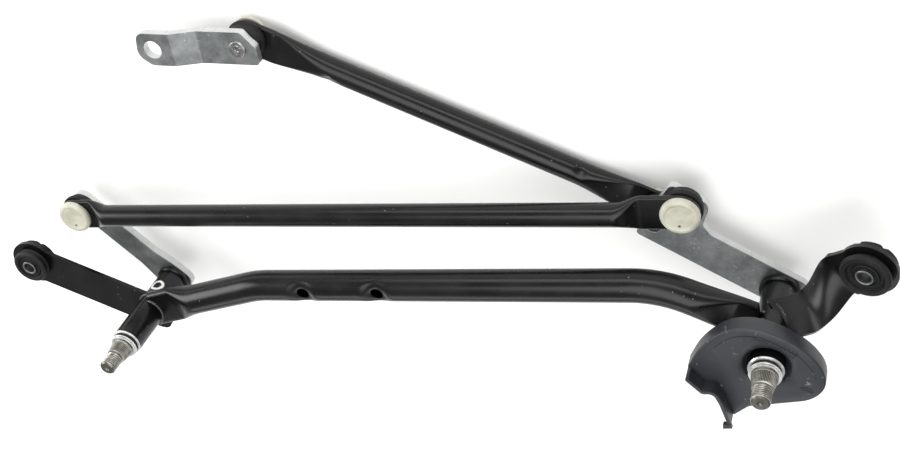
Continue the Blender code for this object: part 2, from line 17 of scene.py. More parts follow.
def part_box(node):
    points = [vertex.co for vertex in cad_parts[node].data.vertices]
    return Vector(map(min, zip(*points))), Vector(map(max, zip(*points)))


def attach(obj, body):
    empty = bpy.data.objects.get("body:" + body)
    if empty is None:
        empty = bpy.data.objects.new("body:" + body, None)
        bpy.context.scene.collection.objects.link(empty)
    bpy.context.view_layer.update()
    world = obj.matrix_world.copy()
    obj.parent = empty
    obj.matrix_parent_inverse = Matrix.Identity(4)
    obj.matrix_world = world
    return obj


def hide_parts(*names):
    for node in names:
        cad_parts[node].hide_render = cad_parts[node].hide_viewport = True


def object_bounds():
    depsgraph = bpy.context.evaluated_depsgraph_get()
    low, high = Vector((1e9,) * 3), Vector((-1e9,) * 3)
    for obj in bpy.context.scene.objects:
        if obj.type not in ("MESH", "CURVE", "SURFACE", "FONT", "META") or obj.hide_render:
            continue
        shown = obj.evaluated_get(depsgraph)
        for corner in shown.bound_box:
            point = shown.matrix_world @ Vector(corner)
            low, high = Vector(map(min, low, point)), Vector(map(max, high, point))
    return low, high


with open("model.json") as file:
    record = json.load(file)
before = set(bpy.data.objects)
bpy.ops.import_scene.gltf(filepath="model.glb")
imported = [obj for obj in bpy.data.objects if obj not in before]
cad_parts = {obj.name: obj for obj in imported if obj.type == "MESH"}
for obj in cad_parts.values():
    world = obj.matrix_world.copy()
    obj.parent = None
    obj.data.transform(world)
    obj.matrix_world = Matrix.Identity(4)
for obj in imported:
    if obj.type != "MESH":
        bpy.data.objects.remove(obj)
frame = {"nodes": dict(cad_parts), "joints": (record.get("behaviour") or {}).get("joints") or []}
cad_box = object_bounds()
print("nodes:", len(frame["nodes"]))

# %% [markdown]
# ## Places and sizes
#
# All the making is done in millimetres, because that is how such parts are drawn. The joints of the
# frame give the two spindle axes and the ball centres, and the boxes of the nodes give the ends of the
# sleeves and the faces of the plates, so no place has to be measured again.

# %% Places that the frame gives
MM = 0.001
UP = Vector((0, 0, 1))
ORIGIN = Vector((0, 0, 0))

joint_at = {joint["name"]: Vector(joint["pos_m"]) / MM for joint in frame["joints"]}
LEFT_PIVOT = joint_at["left_spindle_turn"]
RIGHT_PIVOT = joint_at["right_spindle_turn"]
RIGHT_BALL = joint_at["drag_link_swing"]
DRIVE_BALL = joint_at["drive_link_swing"]
CRANK_BALL = joint_at["motor_crank_turn"]
LEFT_BALL = RIGHT_BALL + LEFT_PIVOT - RIGHT_PIVOT
PIVOT = {"left": LEFT_PIVOT, "right": RIGHT_PIVOT}


def span(node):
    """A node's lowest and highest corner, in millimetres."""
    low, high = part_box(node)
    return Vector(low) / MM, Vector(high) / MM


print("left ball centre:", [round(c, 2) for c in LEFT_BALL])
print("left sleeve runs from", [round(c[2], 2) for c in span("left_pivot_sleeve")])

# %% [markdown]
# ## Camera, floor and lights
#
# The linkage is looked at from its far side, tilted so that the spindles point down in the render.
# A camera matrix is built from two directions: where it looks, and which way is up in the render.
# The floor is a plain pale sheet just under the lowest piece. Large area lamps stand where a studio
# puts its softboxes, so that the black tubes get long soft highlights.

# %% Camera
EYE = Vector((0.6548, 0.4780, 0.6058))
LOOK = Vector((-0.3743, -0.5508, -0.7460)).normalized()
VIEW_UP = Vector((-0.0033, 0.8052, -0.5929))
SENSOR_MM = 36.0
LENS_MM = 50.0

across = LOOK.cross(VIEW_UP).normalized()
upward = across.cross(LOOK)
camera = bpy.data.objects.new("camera", bpy.data.cameras.new("camera"))
bpy.context.scene.collection.objects.link(camera)
turn = Matrix((across, upward, -LOOK)).transposed().to_4x4()
camera.matrix_world = Matrix.Translation(EYE) @ turn
camera.data.sensor_width = SENSOR_MM
camera.data.lens = LENS_MM
camera.data.clip_start = 0.01
bpy.context.scene.camera = camera
bpy.context.scene.view_settings.view_transform = "Standard"
print("camera looks along", [round(c, 3) for c in LOOK])

# %% Floor
FLOOR_SIDE = 14.0
FLOOR_GAP = 0.001
FLOOR_WHITE = (0.93, 0.93, 0.92, 1.0)

low, high = (Vector(corner) for corner in cad_box)
middle = (low + high) / 2
bpy.ops.mesh.primitive_plane_add(size=FLOOR_SIDE, location=(middle.x, middle.y, low.z - FLOOR_GAP))
floor = bpy.context.object
floor.name = "floor"
floor_paint = bpy.data.materials.new("floor_paint")
floor_paint.use_nodes = True
floor_shader = floor_paint.node_tree.nodes["Principled BSDF"]
floor_shader.inputs["Base Color"].default_value = FLOOR_WHITE
floor_shader.inputs["Roughness"].default_value = 0.9
floor_shader.inputs["Specular IOR Level"].default_value = 0.1
floor.data.materials.append(floor_paint)
print("floor at z =", round(low.z - FLOOR_GAP, 4))

# %% Lamps
WORLD_LIGHT = 0.42

world = bpy.data.worlds.new("studio")
bpy.context.scene.world = world
world.use_nodes = True
sky = world.node_tree.nodes["Background"]
sky.inputs["Color"].default_value = (1.0, 1.0, 1.0, 1.0)
sky.inputs["Strength"].default_value = WORLD_LIGHT


def softbox(name, direction, distance, width, height, watts):
    """A rectangular lamp that faces the middle of the linkage."""
    lamp = bpy.data.lights.new(name, "AREA")
    lamp.shape = "RECTANGLE"
    lamp.size, lamp.size_y = width, height
    lamp.energy = watts
    holder = bpy.data.objects.new(name, lamp)
    place = middle + Vector(direction).normalized() * distance
    holder.location = place
    holder.rotation_euler = (middle - place).to_track_quat("-Z", "Y").to_euler()
    bpy.context.scene.collection.objects.link(holder)
    print(name, [round(c, 2) for c in place], watts, "W")


softbox("overhead_softbox", (0.15, 0.10, 1.0), 1.5, 1.7, 1.1, 22)
softbox("far_side_softbox", (0.1, 1.0, 0.36), 1.3, 1.7, 0.4, 9)
softbox("near_side_softbox", (-0.2, -1.0, 0.55), 1.5, 1.5, 0.5, 5)
softbox("end_softbox", (-1.0, 0.35, 0.5), 1.4, 0.7, 0.7, 11)

# %% [markdown]
# ## Shader maths as plain expressions
#
# A material is a tree of nodes, and a tree is slow to read. The small class below wraps one output
# socket and gives it Python's operators, so that `0.3 + 0.1 * speckle` adds the two Math nodes that it
# needs. Every other node comes from one method, which sets the node's settings before its sockets.


# %% The socket wrapper
class Wire:
    """One output socket of a shader tree, or just the tree."""

    def __init__(self, tree, socket=None):
        self.tree = tree
        self.socket = socket

    def node(self, kind, settings=None, sockets=None, output=0):
        new = self.tree.nodes.new("ShaderNode" + kind)
        for name, value in (settings or {}).items():
            setattr(new, name, value)
        for name, value in (sockets or {}).items():
            if isinstance(value, Wire):
                self.tree.links.new(value.socket, new.inputs[name])
            else:
                new.inputs[name].default_value = value
        return Wire(self.tree, new.outputs[output])

    def math(self, operation, *values):
        return self.node("Math", {"operation": operation}, dict(enumerate(values)))

    def __add__(self, other):
        return self.math("ADD", self, other)

    def __radd__(self, other):
        return self.math("ADD", other, self)

    def __sub__(self, other):
        return self.math("SUBTRACT", self, other)

    def __rsub__(self, other):
        return self.math("SUBTRACT", other, self)

    def __mul__(self, other):
        return self.math("MULTIPLY", self, other)

    def __rmul__(self, other):
        return self.math("MULTIPLY", other, self)

    def __abs__(self):
        return self.math("ABSOLUTE", self)

    def rise(self, start, end):
        """0 below start, 1 above end, smooth between; start above end gives a fall."""
        if start > end:
            return 1.0 - self.rise(end, start)
        return self.node("MapRange", {"interpolation_type": "SMOOTHSTEP"},
                         {"Value": self, "From Min": start, "From Max": end})

    def colour(self, low, high):
        """The colour low where this is 0, and high where it is 1."""
        ends = [c if isinstance(c, Wire) else (*c, 1.0) for c in (low, high)]
        return self.node("Mix", {"data_type": "RGBA"}, {0: self, 6: ends[0], 7: ends[1]}, output=2)

    def grain(self, scale, detail=2.0, stretch=None):
        """Noise from 0 to 1 in the piece's own space; scale is in waves per metre."""
        place = self.node("TexCoord", output=3)
        if stretch:
            place = self.node("VectorMath", {"operation": "MULTIPLY"}, {0: place, 1: stretch})
        return self.node("TexNoise", None, {"Vector": place, "Scale": scale, "Detail": detail})

    def cells(self, scale):
        """Distance to the nearest of many scattered points."""
        place = self.node("TexCoord", output=3)
        return self.node("TexVoronoi", None, {"Vector": place, "Scale": scale})

    def facing_up(self):
        """How much the surface faces along the spindles, without sign."""
        normal = self.node("TexCoord", output=1)
        return abs(self.node("SeparateXYZ", None, {0: normal}, output=2))

    def height(self):
        """Height of the surface in metres."""
        return self.node("SeparateXYZ", None, {0: self.node("TexCoord", output=3)}, output=2)

    def near(self, spot, size):
        """Distance from a spot given in millimetres, as a share of the size in each direction."""
        place = self.node("TexCoord", output=3)
        away = self.node("VectorMath", {"operation": "SUBTRACT"}, {0: place, 1: tuple(Vector(spot) * MM)})
        share = self.node("VectorMath", {"operation": "MULTIPLY"},
                          {0: away, 1: tuple(1 / (s * MM) for s in size)})
        return self.node("VectorMath", {"operation": "LENGTH"}, {0: share}, output=1)


def make_finish(name, recipe, **steady):
    """A material whose steady values sit on the shader's own sockets and whose recipe varies the rest."""
    made = bpy.data.materials.new(name)
    made.use_nodes = True
    tree = made.node_tree
    shader = tree.nodes["Principled BSDF"]
    for socket, value in steady.items():
        shader.inputs[socket.replace("_", " ")].default_value = value
    varied = recipe(Wire(tree))
    relief = varied.pop("Relief", None)
    if relief:
        varied["Normal"] = relief.node("Bump", None, {"Strength": 1.0, "Distance": MM, "Height": relief})
    for socket, wire in varied.items():
        tree.links.new(wire.socket, shader.inputs[socket])
    print("finish", name, "varies", ", ".join(sorted(varied)))
    return made


# %% [markdown]
# ## The black coat
#
# Tubes, sleeves and brackets are dipped in electrocoat: a thin satin black paint that shrinks a little
# as it bakes, which leaves a fine orange peel. Storage adds dull patches and a few specks of dust. One
# noise gives the peel as relief, a slower one moves the roughness, and scattered cells give the specks.
# The wax-pencil marks on the two sleeves, a ring and a stripe, are part of the coat's colour, so they
# need no mesh. Over a weld the same coat runs thick and shines more, which is one steady value.

# %% Black coat
COAT_DARK = (0.0018, 0.0018, 0.0020)
COAT_LIGHT = (0.0046, 0.0047, 0.0050)
DUST = (0.20, 0.20, 0.19)
WAX_WHITE = (0.80, 0.80, 0.76)


def coat_recipe(mark=None):
    """mark is a wax mark: its spot, its size, and where and how wide its stroke is in that size."""
    def recipe(tree):
        patches = tree.grain(38.0, 4.0)
        peel = tree.grain(900.0)
        dust = tree.cells(170.0).rise(0.085, 0.04) * tree.grain(18.0).rise(0.52, 0.62)
        colour = dust.colour(patches.rise(0.35, 0.7).colour(COAT_DARK, COAT_LIGHT), DUST)
        if mark:
            spot, size, middle_of_stroke, half_stroke = mark
            ragged = abs(tree.near(spot, size) - middle_of_stroke) + 0.3 * tree.grain(700.0) - 0.15
            colour = ragged.rise(half_stroke + 0.05, half_stroke - 0.05).colour(colour, WAX_WHITE)
        return {"Base Color": colour, "Roughness": 0.20 + 0.16 * patches + 0.3 * dust,
                "Relief": 0.006 * peel + 0.01 * patches}
    return recipe


COAT_SHINE = 0.30
WELD_SHINE = 0.80
black_coat = make_finish("black_coat_satin", coat_recipe(), Specular_IOR_Level=COAT_SHINE)
weld_coat = make_finish("black_coat_on_weld", coat_recipe(), Specular_IOR_Level=WELD_SHINE)
SLEEVE_R = (span("right_pivot_sleeve")[1].x - span("right_pivot_sleeve")[0].x) / 2


def on_sleeve(pivot, angle, height):
    """A point on a sleeve's outside, at an angle in radians and a height above the frame's origin."""
    return Vector((pivot.x + SLEEVE_R * math.cos(angle), pivot.y + SLEEVE_R * math.sin(angle), height))


LEFT_MARK = on_sleeve(LEFT_PIVOT, 1.5, LEFT_PIVOT.z - 10)
RIGHT_MARK = on_sleeve(RIGHT_PIVOT, 1.35, RIGHT_PIVOT.z + 24)
left_sleeve_coat = make_finish(
    "black_coat_with_wax_ring", coat_recipe((LEFT_MARK, (5.2, 5.2, 5.2), 0.82, 0.2)),
    Specular_IOR_Level=COAT_SHINE)
right_sleeve_coat = make_finish(
    "black_coat_with_wax_stripe", coat_recipe((RIGHT_MARK, (1.5, 1.5, 7.0), 0.0, 0.9)),
    Specular_IOR_Level=COAT_SHINE)

# %% [markdown]
# ## Zinc plate
#
# The levers and the motor crank are stamped plates with a zinc coat. Their faces are dull, mottled grey.
# The sheared edges are bare metal with fine lines across them, and their colour is made much lighter, one
# bright band that is a painted highlight for the light they catch. The surface's own normal tells face
# from edge, which is steadier than painting each face by hand.

# %% Zinc plate
ZINC_DULL = (0.14, 0.150, 0.150)
ZINC_FRESH = (0.30, 0.315, 0.312)
ZINC_SHEAR_WITH_HIGHLIGHT = (0.47, 0.48, 0.475)
ZINC_PALE_PITS_AND_EDGE_HIGHLIGHT = (0.59, 0.60, 0.59)


def zinc_recipe(tree):
    blotches = tree.grain(75.0, 5.0)
    spangle = tree.cells(420.0)
    pits = tree.cells(330.0).rise(0.22, 0.08) * tree.grain(42.0).rise(0.48, 0.6)
    edge = tree.facing_up().rise(0.8, 0.45)
    shear = tree.grain(1.0, 2.0, (1500.0, 1500.0, 90.0))
    face = (0.7 * blotches.rise(0.3, 0.72) + 0.25 * spangle).colour(ZINC_DULL, ZINC_FRESH)
    face = (0.6 * pits).colour(face, ZINC_PALE_PITS_AND_EDGE_HIGHLIGHT)
    # The edge band: sheared metal with shear lines, its colour lightened as a painted highlight.
    sheared_with_highlight = (0.5 * shear + 0.5 * blotches).rise(0.3, 0.7).colour(ZINC_SHEAR_WITH_HIGHLIGHT, ZINC_PALE_PITS_AND_EDGE_HIGHLIGHT)
    return {"Base Color": edge.colour(face, sheared_with_highlight),
            "Roughness": 0.34 + 0.16 * blotches + 0.06 * spangle - 0.08 * edge,
            "Relief": 0.012 * blotches - 0.02 * pits + 0.014 * edge * shear + 0.004 * tree.grain(1300.0)}


zinc_plate = make_finish("zinc_plate_dull", zinc_recipe, Metallic=0.88)

# %% [markdown]
# ## Bare and bright steel
#
# The spindles are turned, knurled and rolled, and only oiled, so their steel is warm and slightly
# stained. The ball studs are plated, and the washers, clips and sleeve rims are bright bare metal. All
# use the same recipe with other ends to the colour range. On a spindle the recipe also measures how far
# the surface lies below the cone or the thread's crests, and paints what is deep darker as painted shade.

# %% Steels and bronze
CONE_BASE_Z, CONE_TOP_Z = 49.7, 59.6
CONE_BASE_R, CONE_TOP_R = 8.1, 6.5
CONE_COLLAR = 0.6
CONE_SLOPE = (CONE_TOP_R - CONE_BASE_R) / (CONE_TOP_Z - CONE_BASE_Z - CONE_COLLAR)
THREAD_R = 5.9
# Painted shade: the colour and strength of the darkening in the knurl and thread grooves.
PAINTED_GROOVE_SHADE = (0.075, 0.073, 0.062)
GROOVE_SHADE_STRENGTH = 0.85
ANY_HEIGHT = 1e6
SPINDLE_TONES = ((0.25, 0.245, 0.22), (0.46, 0.45, 0.41))


def steel_recipe(dark, light, rough, axis=None):
    """Stained, finely lined metal; with a spindle's axis, its grooves are darkened with painted shade."""
    def recipe(tree):
        stain = tree.grain(240.0, 4.0)
        lines = tree.grain(1.0, 2.0, (120.0, 120.0, 2600.0))
        colour = stain.rise(0.3, 0.7).colour(dark, light)
        if axis:
            radius = tree.near(axis, (1.0, 1.0, ANY_HEIGHT))
            cone = CONE_BASE_R + CONE_SLOPE * (tree.height() * (1 / MM) - CONE_BASE_Z - CONE_COLLAR)
            on_cone = tree.height().rise((CONE_TOP_Z + 0.3) * MM, CONE_TOP_Z * MM)
            below = on_cone * (cone - radius) + (1.0 - on_cone) * (THREAD_R - radius)
            # Painted shade: the deeper a point lies below the cone or the thread's crests, the darker it
            # is painted.
            colour = (GROOVE_SHADE_STRENGTH * below.rise(0.12, 0.5)).colour(colour, PAINTED_GROOVE_SHADE)
        return {"Base Color": colour,
                "Roughness": rough + 0.16 * stain,
                "Relief": 0.006 * lines + 0.004 * stain}
    return recipe


spindle_steel = {}
for side, pivot in PIVOT.items():
    spindle_steel[side] = make_finish(
        f"{side}_spindle_steel_oiled_groove_shade", steel_recipe(*SPINDLE_TONES, 0.26, pivot), Metallic=0.82)
dull_steel = make_finish(
    "bolt_sleeve_steel", steel_recipe((0.12, 0.125, 0.125), (0.22, 0.225, 0.222), 0.38), Metallic=0.95)
bright_steel = make_finish(
    "bright_steel_plated", steel_recipe((0.26, 0.265, 0.26), (0.50, 0.505, 0.495), 0.14), Metallic=1.0)
machined_steel = make_finish(
    "machined_steel_bare", steel_recipe((0.52, 0.525, 0.515), (0.80, 0.80, 0.785), 0.22), Metallic=0.6)
bronze = make_finish(
    "sintered_bronze_matt", steel_recipe((0.24, 0.15, 0.08), (0.42, 0.29, 0.16), 0.4), Metallic=0.9)

# %% [markdown]
# ## Nylon, rubber and the shield's plastic
#
# Natural nylon is ivory and lets a little light in, so it gets a small scattering radius, which is the
# same everywhere and sits on the shader's own socket. Rubber is matt with a fine moulded skin. The
# shield is a dark blue-grey moulding with a spark-eroded grain and a few pale curved scuffs, drawn
# where a slow noise crosses its middle value.

# %% Nylon, rubber, shield plastic
NYLON_SHADE = (0.38, 0.37, 0.295)
NYLON_CLEAR = (0.49, 0.48, 0.395)
RUBBER_DARK = (0.0035, 0.0035, 0.0037)
RUBBER_DUSTY = (0.014, 0.014, 0.014)
SHIELD_DARK = (0.0125, 0.0138, 0.0168)
SHIELD_LIGHT = (0.0235, 0.0255, 0.0300)
SCUFF = (0.12, 0.123, 0.126)


def nylon_recipe(tree):
    cloud = tree.grain(110.0, 3.0)
    return {"Base Color": cloud.rise(0.3, 0.7).colour(NYLON_SHADE, NYLON_CLEAR),
            "Roughness": 0.30 + 0.18 * cloud,
            "Relief": 0.008 * tree.grain(800.0) + 0.02 * cloud}


def rubber_recipe(tree):
    bloom = tree.grain(85.0, 4.0)
    return {"Base Color": bloom.rise(0.4, 0.75).colour(RUBBER_DARK, RUBBER_DUSTY),
            "Roughness": 0.46 + 0.22 * bloom,
            "Relief": 0.012 * tree.grain(1100.0) + 0.01 * bloom}


def shield_recipe(tree):
    tone = tree.grain(30.0, 3.0)
    drift = tree.grain(60.0, 1.0)
    scuff = abs(drift - 0.5).rise(0.008, 0.003) * tree.grain(170.0).rise(0.57, 0.63)
    return {"Base Color": scuff.colour(tone.rise(0.3, 0.7).colour(SHIELD_DARK, SHIELD_LIGHT), SCUFF),
            "Roughness": 0.36 + 0.14 * tone + 0.1 * scuff,
            "Relief": 0.010 * tree.grain(1500.0) + 0.01 * tone}


nylon = make_finish("nylon_ivory", nylon_recipe, Subsurface_Weight=0.18,
                    Subsurface_Radius=(0.0015, 0.0013, 0.0009), Subsurface_Scale=1.0)
rubber = make_finish("rubber_moulded", rubber_recipe, Specular_IOR_Level=0.26)
shield_plastic = make_finish("shield_plastic_grained", shield_recipe, Specular_IOR_Level=0.45)

# %% [markdown]
# ## Tools of the workshop
#
# Five ways of making cover the whole linkage: turning a profile on a lathe, cutting a plate from an
# outline, forming a tube through stations, cutting or joining with a Boolean, and softening edges with
# a Bevel. A modifier is applied as soon as it is added, so that the next tool works on real faces.

# %% Mesh helpers
SHARP = math.radians(32)
FIT_GAP = 0.05
THROUGH = 60


def new_shape(name, verts, faces):
    """A mesh object from points in millimetres, its faces turned outward."""
    mesh = bpy.data.meshes.new(name)
    mesh.from_pydata([Vector(v) * MM for v in verts], [], faces)
    work = bmesh.new()
    work.from_mesh(mesh)
    bmesh.ops.recalc_face_normals(work, faces=work.faces)
    work.to_mesh(mesh)
    work.free()
    shape = bpy.data.objects.new(name, mesh)
    bpy.context.scene.collection.objects.link(shape)
    return shape


def apply_modifiers(shape):
    bpy.context.view_layer.update()
    view = bpy.context.evaluated_depsgraph_get()
    mesh = bpy.data.meshes.new_from_object(shape.evaluated_get(view))
    shape.modifiers.clear()
    shape.data = mesh
    return shape


def combine(shape, tool, operation):
    """Boolean with a tool that is then thrown away."""
    step = shape.modifiers.new("combine", "BOOLEAN")
    step.operation = operation
    step.solver = "EXACT"
    step.object = tool
    apply_modifiers(shape)
    bpy.data.objects.remove(tool, do_unlink=True)
    return shape


def shade(shape):
    shape.data.shade_smooth()
    shape.data.set_sharp_from_angle(angle=SHARP)
    return shape


def soften(shape, width, segments=3, angle=40):
    """Round every edge sharper than the angle; its faces stay flat in the shading."""
    shade(shape)
    step = shape.modifiers.new("soften", "BEVEL")
    step.width = width * MM
    step.segments = segments
    step.limit_method = "ANGLE"
    step.angle_limit = math.radians(angle)
    step.harden_normals = True
    return apply_modifiers(shape)


def fit(shape, body, slot, finish, *nodes, second=None, where=None):
    """Give a finished shape its material and its place in the mechanism."""
    if nodes:
        shape.name = f"{nodes[0]}_detail"
    shape.data.materials.clear()
    shape.data.materials.append(finish)
    if second:
        shape.data.materials.append(second)
        for face in shape.data.polygons:
            face.material_index = int(where(face.center / MM))
    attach(shape, body)
    if nodes:
        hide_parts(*nodes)
    print("made", shape.name, "with", len(shape.data.polygons), "faces")
    return shape


# %% Outlines, lathe, plate
def fillet(points, steps=7):
    """Round the corners of a closed outline given as (x, y, radius)."""
    out, count = [], len(points)
    for i in range(count):
        corner = Vector(points[i][:2])
        radius = points[i][2] if len(points[i]) > 2 else 0.0
        if radius <= 0:
            out.append(corner)
            continue
        back = Vector(points[i - 1][:2]) - corner
        ahead = Vector(points[(i + 1) % count][:2]) - corner
        half = back.angle(ahead) / 2
        reach = min(radius / math.tan(half), 0.49 * back.length, 0.49 * ahead.length)
        radius = reach * math.tan(half)
        centre = corner + (back.normalized() + ahead.normalized()).normalized() * radius / math.sin(half)
        start = corner + back.normalized() * reach - centre
        end = corner + ahead.normalized() * reach - centre
        swing = start.angle_signed(end)
        for k in range(steps + 1):
            out.append(centre + Matrix.Rotation(-swing * k / steps, 2) @ start)
    return out


def turned(name, profile, centre, axis=UP, sides=72, wave=None):
    """Turn a closed profile of (radius, height, corner radius) round an axis.

    wave(angle, radius, height) may change the radius, for lobes, knurls and notches."""
    rest = UP.rotation_difference(axis).to_matrix()
    verts, rings = [], []
    for radius, height in fillet(profile):
        if radius < 1e-6:
            rings.append([len(verts)])
            verts.append(centre + rest @ Vector((0, 0, height)))
            continue
        ring = []
        for k in range(sides):
            angle = 2 * math.pi * k / sides
            r = wave(angle, radius, height) if wave else radius
            ring.append(len(verts))
            verts.append(centre + rest @ Vector((r * math.cos(angle), r * math.sin(angle), height)))
        rings.append(ring)
    capped = len(rings[0]) == 1 and len(rings[-1]) == 1
    pairs = list(zip(rings, rings[1:])) + ([] if capped else [(rings[-1], rings[0])])
    faces = []
    for a, b in pairs:
        for k in range(sides):
            j = (k + 1) % sides
            if len(a) == 1:
                faces.append((a[0], b[j], b[k]))
            elif len(b) == 1:
                faces.append((a[k], a[j], b[0]))
            else:
                faces.append((a[k], a[j], b[j], b[k]))
    return new_shape(name, verts, faces)


def plate(name, outline, bottom, top):
    """A flat plate with that outline between two heights."""
    count = len(outline)
    verts = [Vector((p.x, p.y, z)) for z in (bottom, top) for p in outline]
    faces = [tuple(range(count - 1, -1, -1)), tuple(range(count, 2 * count))]
    faces += [(k, (k + 1) % count, count + (k + 1) % count, count + k) for k in range(count)]
    return new_shape(name, verts, faces)


def drill(shape, radius, centre, depth=30, axis=UP, sides=72):
    tool = turned("drill", [(0, -depth), (radius, -depth), (radius, depth), (0, depth)],
                  centre, axis, sides)
    return combine(shape, tool, "DIFFERENCE")


# %% [markdown]
# ## Formed tubes
#
# The links and the cross tube are round tubes squeezed flat at their ends. Each is lofted through
# stations along its path, and a station knows its width and height. A squeezed tube keeps a tongue of
# flat that reaches further at its middle than at its sides, so the change from flat to round starts
# later in the middle. That is what draws the curved crease. Three lengths describe each press: how far
# the flat reaches, over how long it turns round, and how far its tongue goes.

# %% Tube forming
AROUND = 56


def eased(t):
    t = min(1.0, max(0.0, t))
    return t * t * (3 - 2 * t)


def formed_tube(name, stations, wall, dent=None):
    """Loft a hollow tube, open at both ends, through (centre, side, section) stations.

    section(angle, inset) gives a point across and up; dent(point, outward) may push the outer skin in."""
    verts = []
    for centre, side, section in stations:
        for inset in (0.0, wall):
            for k in range(AROUND):
                across_mm, up_mm = section(2 * math.pi * (k + 0.5) / AROUND, inset)
                outward = side * across_mm + UP * up_mm
                point = centre + outward
                verts.append(point + dent(point, outward) if dent else point)
    faces, last = [], len(stations) - 1
    for i in range(last):
        a, b = i * 2 * AROUND, (i + 1) * 2 * AROUND
        for k in range(AROUND):
            j = (k + 1) % AROUND
            faces.append((a + k, a + j, b + j, b + k))
            faces.append((a + AROUND + k, b + AROUND + k, b + AROUND + j, a + AROUND + j))
    for i in (0, last):
        a = i * 2 * AROUND
        faces += [(a + k, a + AROUND + k, a + AROUND + (k + 1) % AROUND, a + (k + 1) % AROUND)
                  for k in range(AROUND)]
    return new_shape(name, verts, faces)


def squeezed(near, flat_w, flat_h, round_d, start, blend, tongue, widest=None):
    """Section of a tube `near` millimetres from its flattened end.

    widest narrows the flat where the tube's end is rounded."""
    def section(angle, inset):
        c, s = math.cos(angle), math.sin(angle)
        half_web = max(0.1, ((widest or flat_w) - flat_h) / 2)
        flat_x = 0.5 * (flat_h - 2 * inset) * c + math.copysign(half_web, c)
        lead = tongue * (1 - (2 * flat_x / flat_w) ** 2) if abs(2 * flat_x) < flat_w else 0.0
        t = min(1.0, max(0.0, (near - start - lead) / (blend - lead)))
        share = 0.5 * eased(t) + 0.5 * t * (2 - t)
        flat_z = 0.5 * (flat_h - 2 * inset) * s
        round_r = 0.5 * round_d - inset
        return (flat_x + (round_r * c - flat_x) * share, flat_z + (round_r * s - flat_z) * share)
    return section


# %% [markdown]
# ## The two links
#
# Each link is a 16 mm tube whose ends are pressed into round flats, long ones on the drive link and
# shorter, crisper ones on the drag link. A nylon socket snaps through a hole in each flat. The press
# leaves small dimples near the flats, which are pushed in here by moving the skin's points by a smooth
# falloff, because that keeps one clean surface.

# %% Links
LINK_D = 16.0
LINK_WALL = 1.4
LINK_FLAT_H = 3.8
LINK_FLAT_W = 25.0
DRAG_PRESSES = ((15.0, 14.0, 4.0), (25.0, 17.0, 5.0))
DRIVE_PRESSES = ((17.0, 43.0, 16.0), (17.0, 43.0, 16.0))
LINK_FLAT_END = 15.0
PRESS_STEP = 1.5
PLATE_OFF_BALL = 2.0
AXIS_OFF_BALL = 4.5
SOCKET_HOLE_R = 9.8


def dimple(spot, radius, depth):
    """A push along the inward direction that fades out at the radius."""
    def push(point, outward):
        away = (point - spot).length
        if away > radius or outward.length < 1e-6:
            return ORIGIN
        return -outward.normalized() * depth * (0.5 + 0.5 * math.cos(math.pi * away / radius))
    return push


def pushes(*all_of_them):
    def push(point, outward):
        return sum((one(point, outward) for one in all_of_them), Vector())
    return push


def link(name, start_ball, end_ball, away, body, presses, dents):
    """A link between two balls, its flats on the side that away gives.

    presses holds the flats' lengths at the start and the end, and dents holds (distance along, distance
    across, radius, depth)."""
    along = (end_ball - start_ball).normalized()
    side = Vector((-along.y, along.x, 0)).normalized()
    length = (end_ball - start_ball).length
    r_end = LINK_FLAT_W / 2
    rounding = [-r_end * math.cos(math.radians(a)) for a in range(12, 90, 6)]
    over_press = [LINK_FLAT_END + PRESS_STEP * k for k in range(33)]
    first_half = rounding + [0, 6, 12] + over_press + [70, 74, 78, 90]
    marks = first_half + [length / 2] + [length - m for m in reversed(first_half)]
    stations = []
    for s in marks:
        near = min(s, length - s)
        start, blend, tongue = presses[0] if s < length / 2 else presses[1]
        rounded = 2 * math.sqrt(max(r_end ** 2 - near ** 2, 0))
        widest = max(LINK_FLAT_H + 0.6, rounded) if near < 0 else None
        lift = PLATE_OFF_BALL + (AXIS_OFF_BALL - PLATE_OFF_BALL) * eased((near - start) / blend)
        section = squeezed(near, LINK_FLAT_W, LINK_FLAT_H, LINK_D, start, blend, tongue, widest)
        stations.append((start_ball + along * s + UP * away * lift, side, section))
    marks_on_skin = []
    for s, reach_across, radius, depth in dents:
        spot = start_ball + along * s + side * reach_across + UP * (away * AXIS_OFF_BALL + LINK_D * 0.4)
        marks_on_skin.append(dimple(spot, radius, depth))
    shape = formed_tube(name, stations, LINK_WALL, pushes(*marks_on_skin) if dents else None)
    for ball in (start_ball, end_ball):
        drill(shape, SOCKET_HOLE_R, ball, 12)
    return fit(shade(shape), body, "black_coat", black_coat, name)


DRAG_LENGTH = (RIGHT_BALL - LEFT_BALL).length
DRIVE_LENGTH = (DRIVE_BALL - CRANK_BALL).length
link("drag_link_tube", LEFT_BALL, RIGHT_BALL, 1, "drag_link", DRAG_PRESSES,
     [(DRAG_LENGTH - 37, -1.5, 5.0, 0.9)])
link("drive_link_tube", CRANK_BALL, DRIVE_BALL, -1, "drive_link", DRIVE_PRESSES,
     [(60, -4.5, 6.0, 1.4), (DRIVE_LENGTH - 56, 4.0, 6.0, 1.0)])

# %% [markdown]
# ## The cross tube
#
# A 22 mm tube bent twice, so that it stands clear of the levers, and flattened where it is welded to
# the sleeves. Its path is a polyline whose corners are replaced by smooth curves. Two round dents with
# a punched hole in the middle take trim clips on the real car.

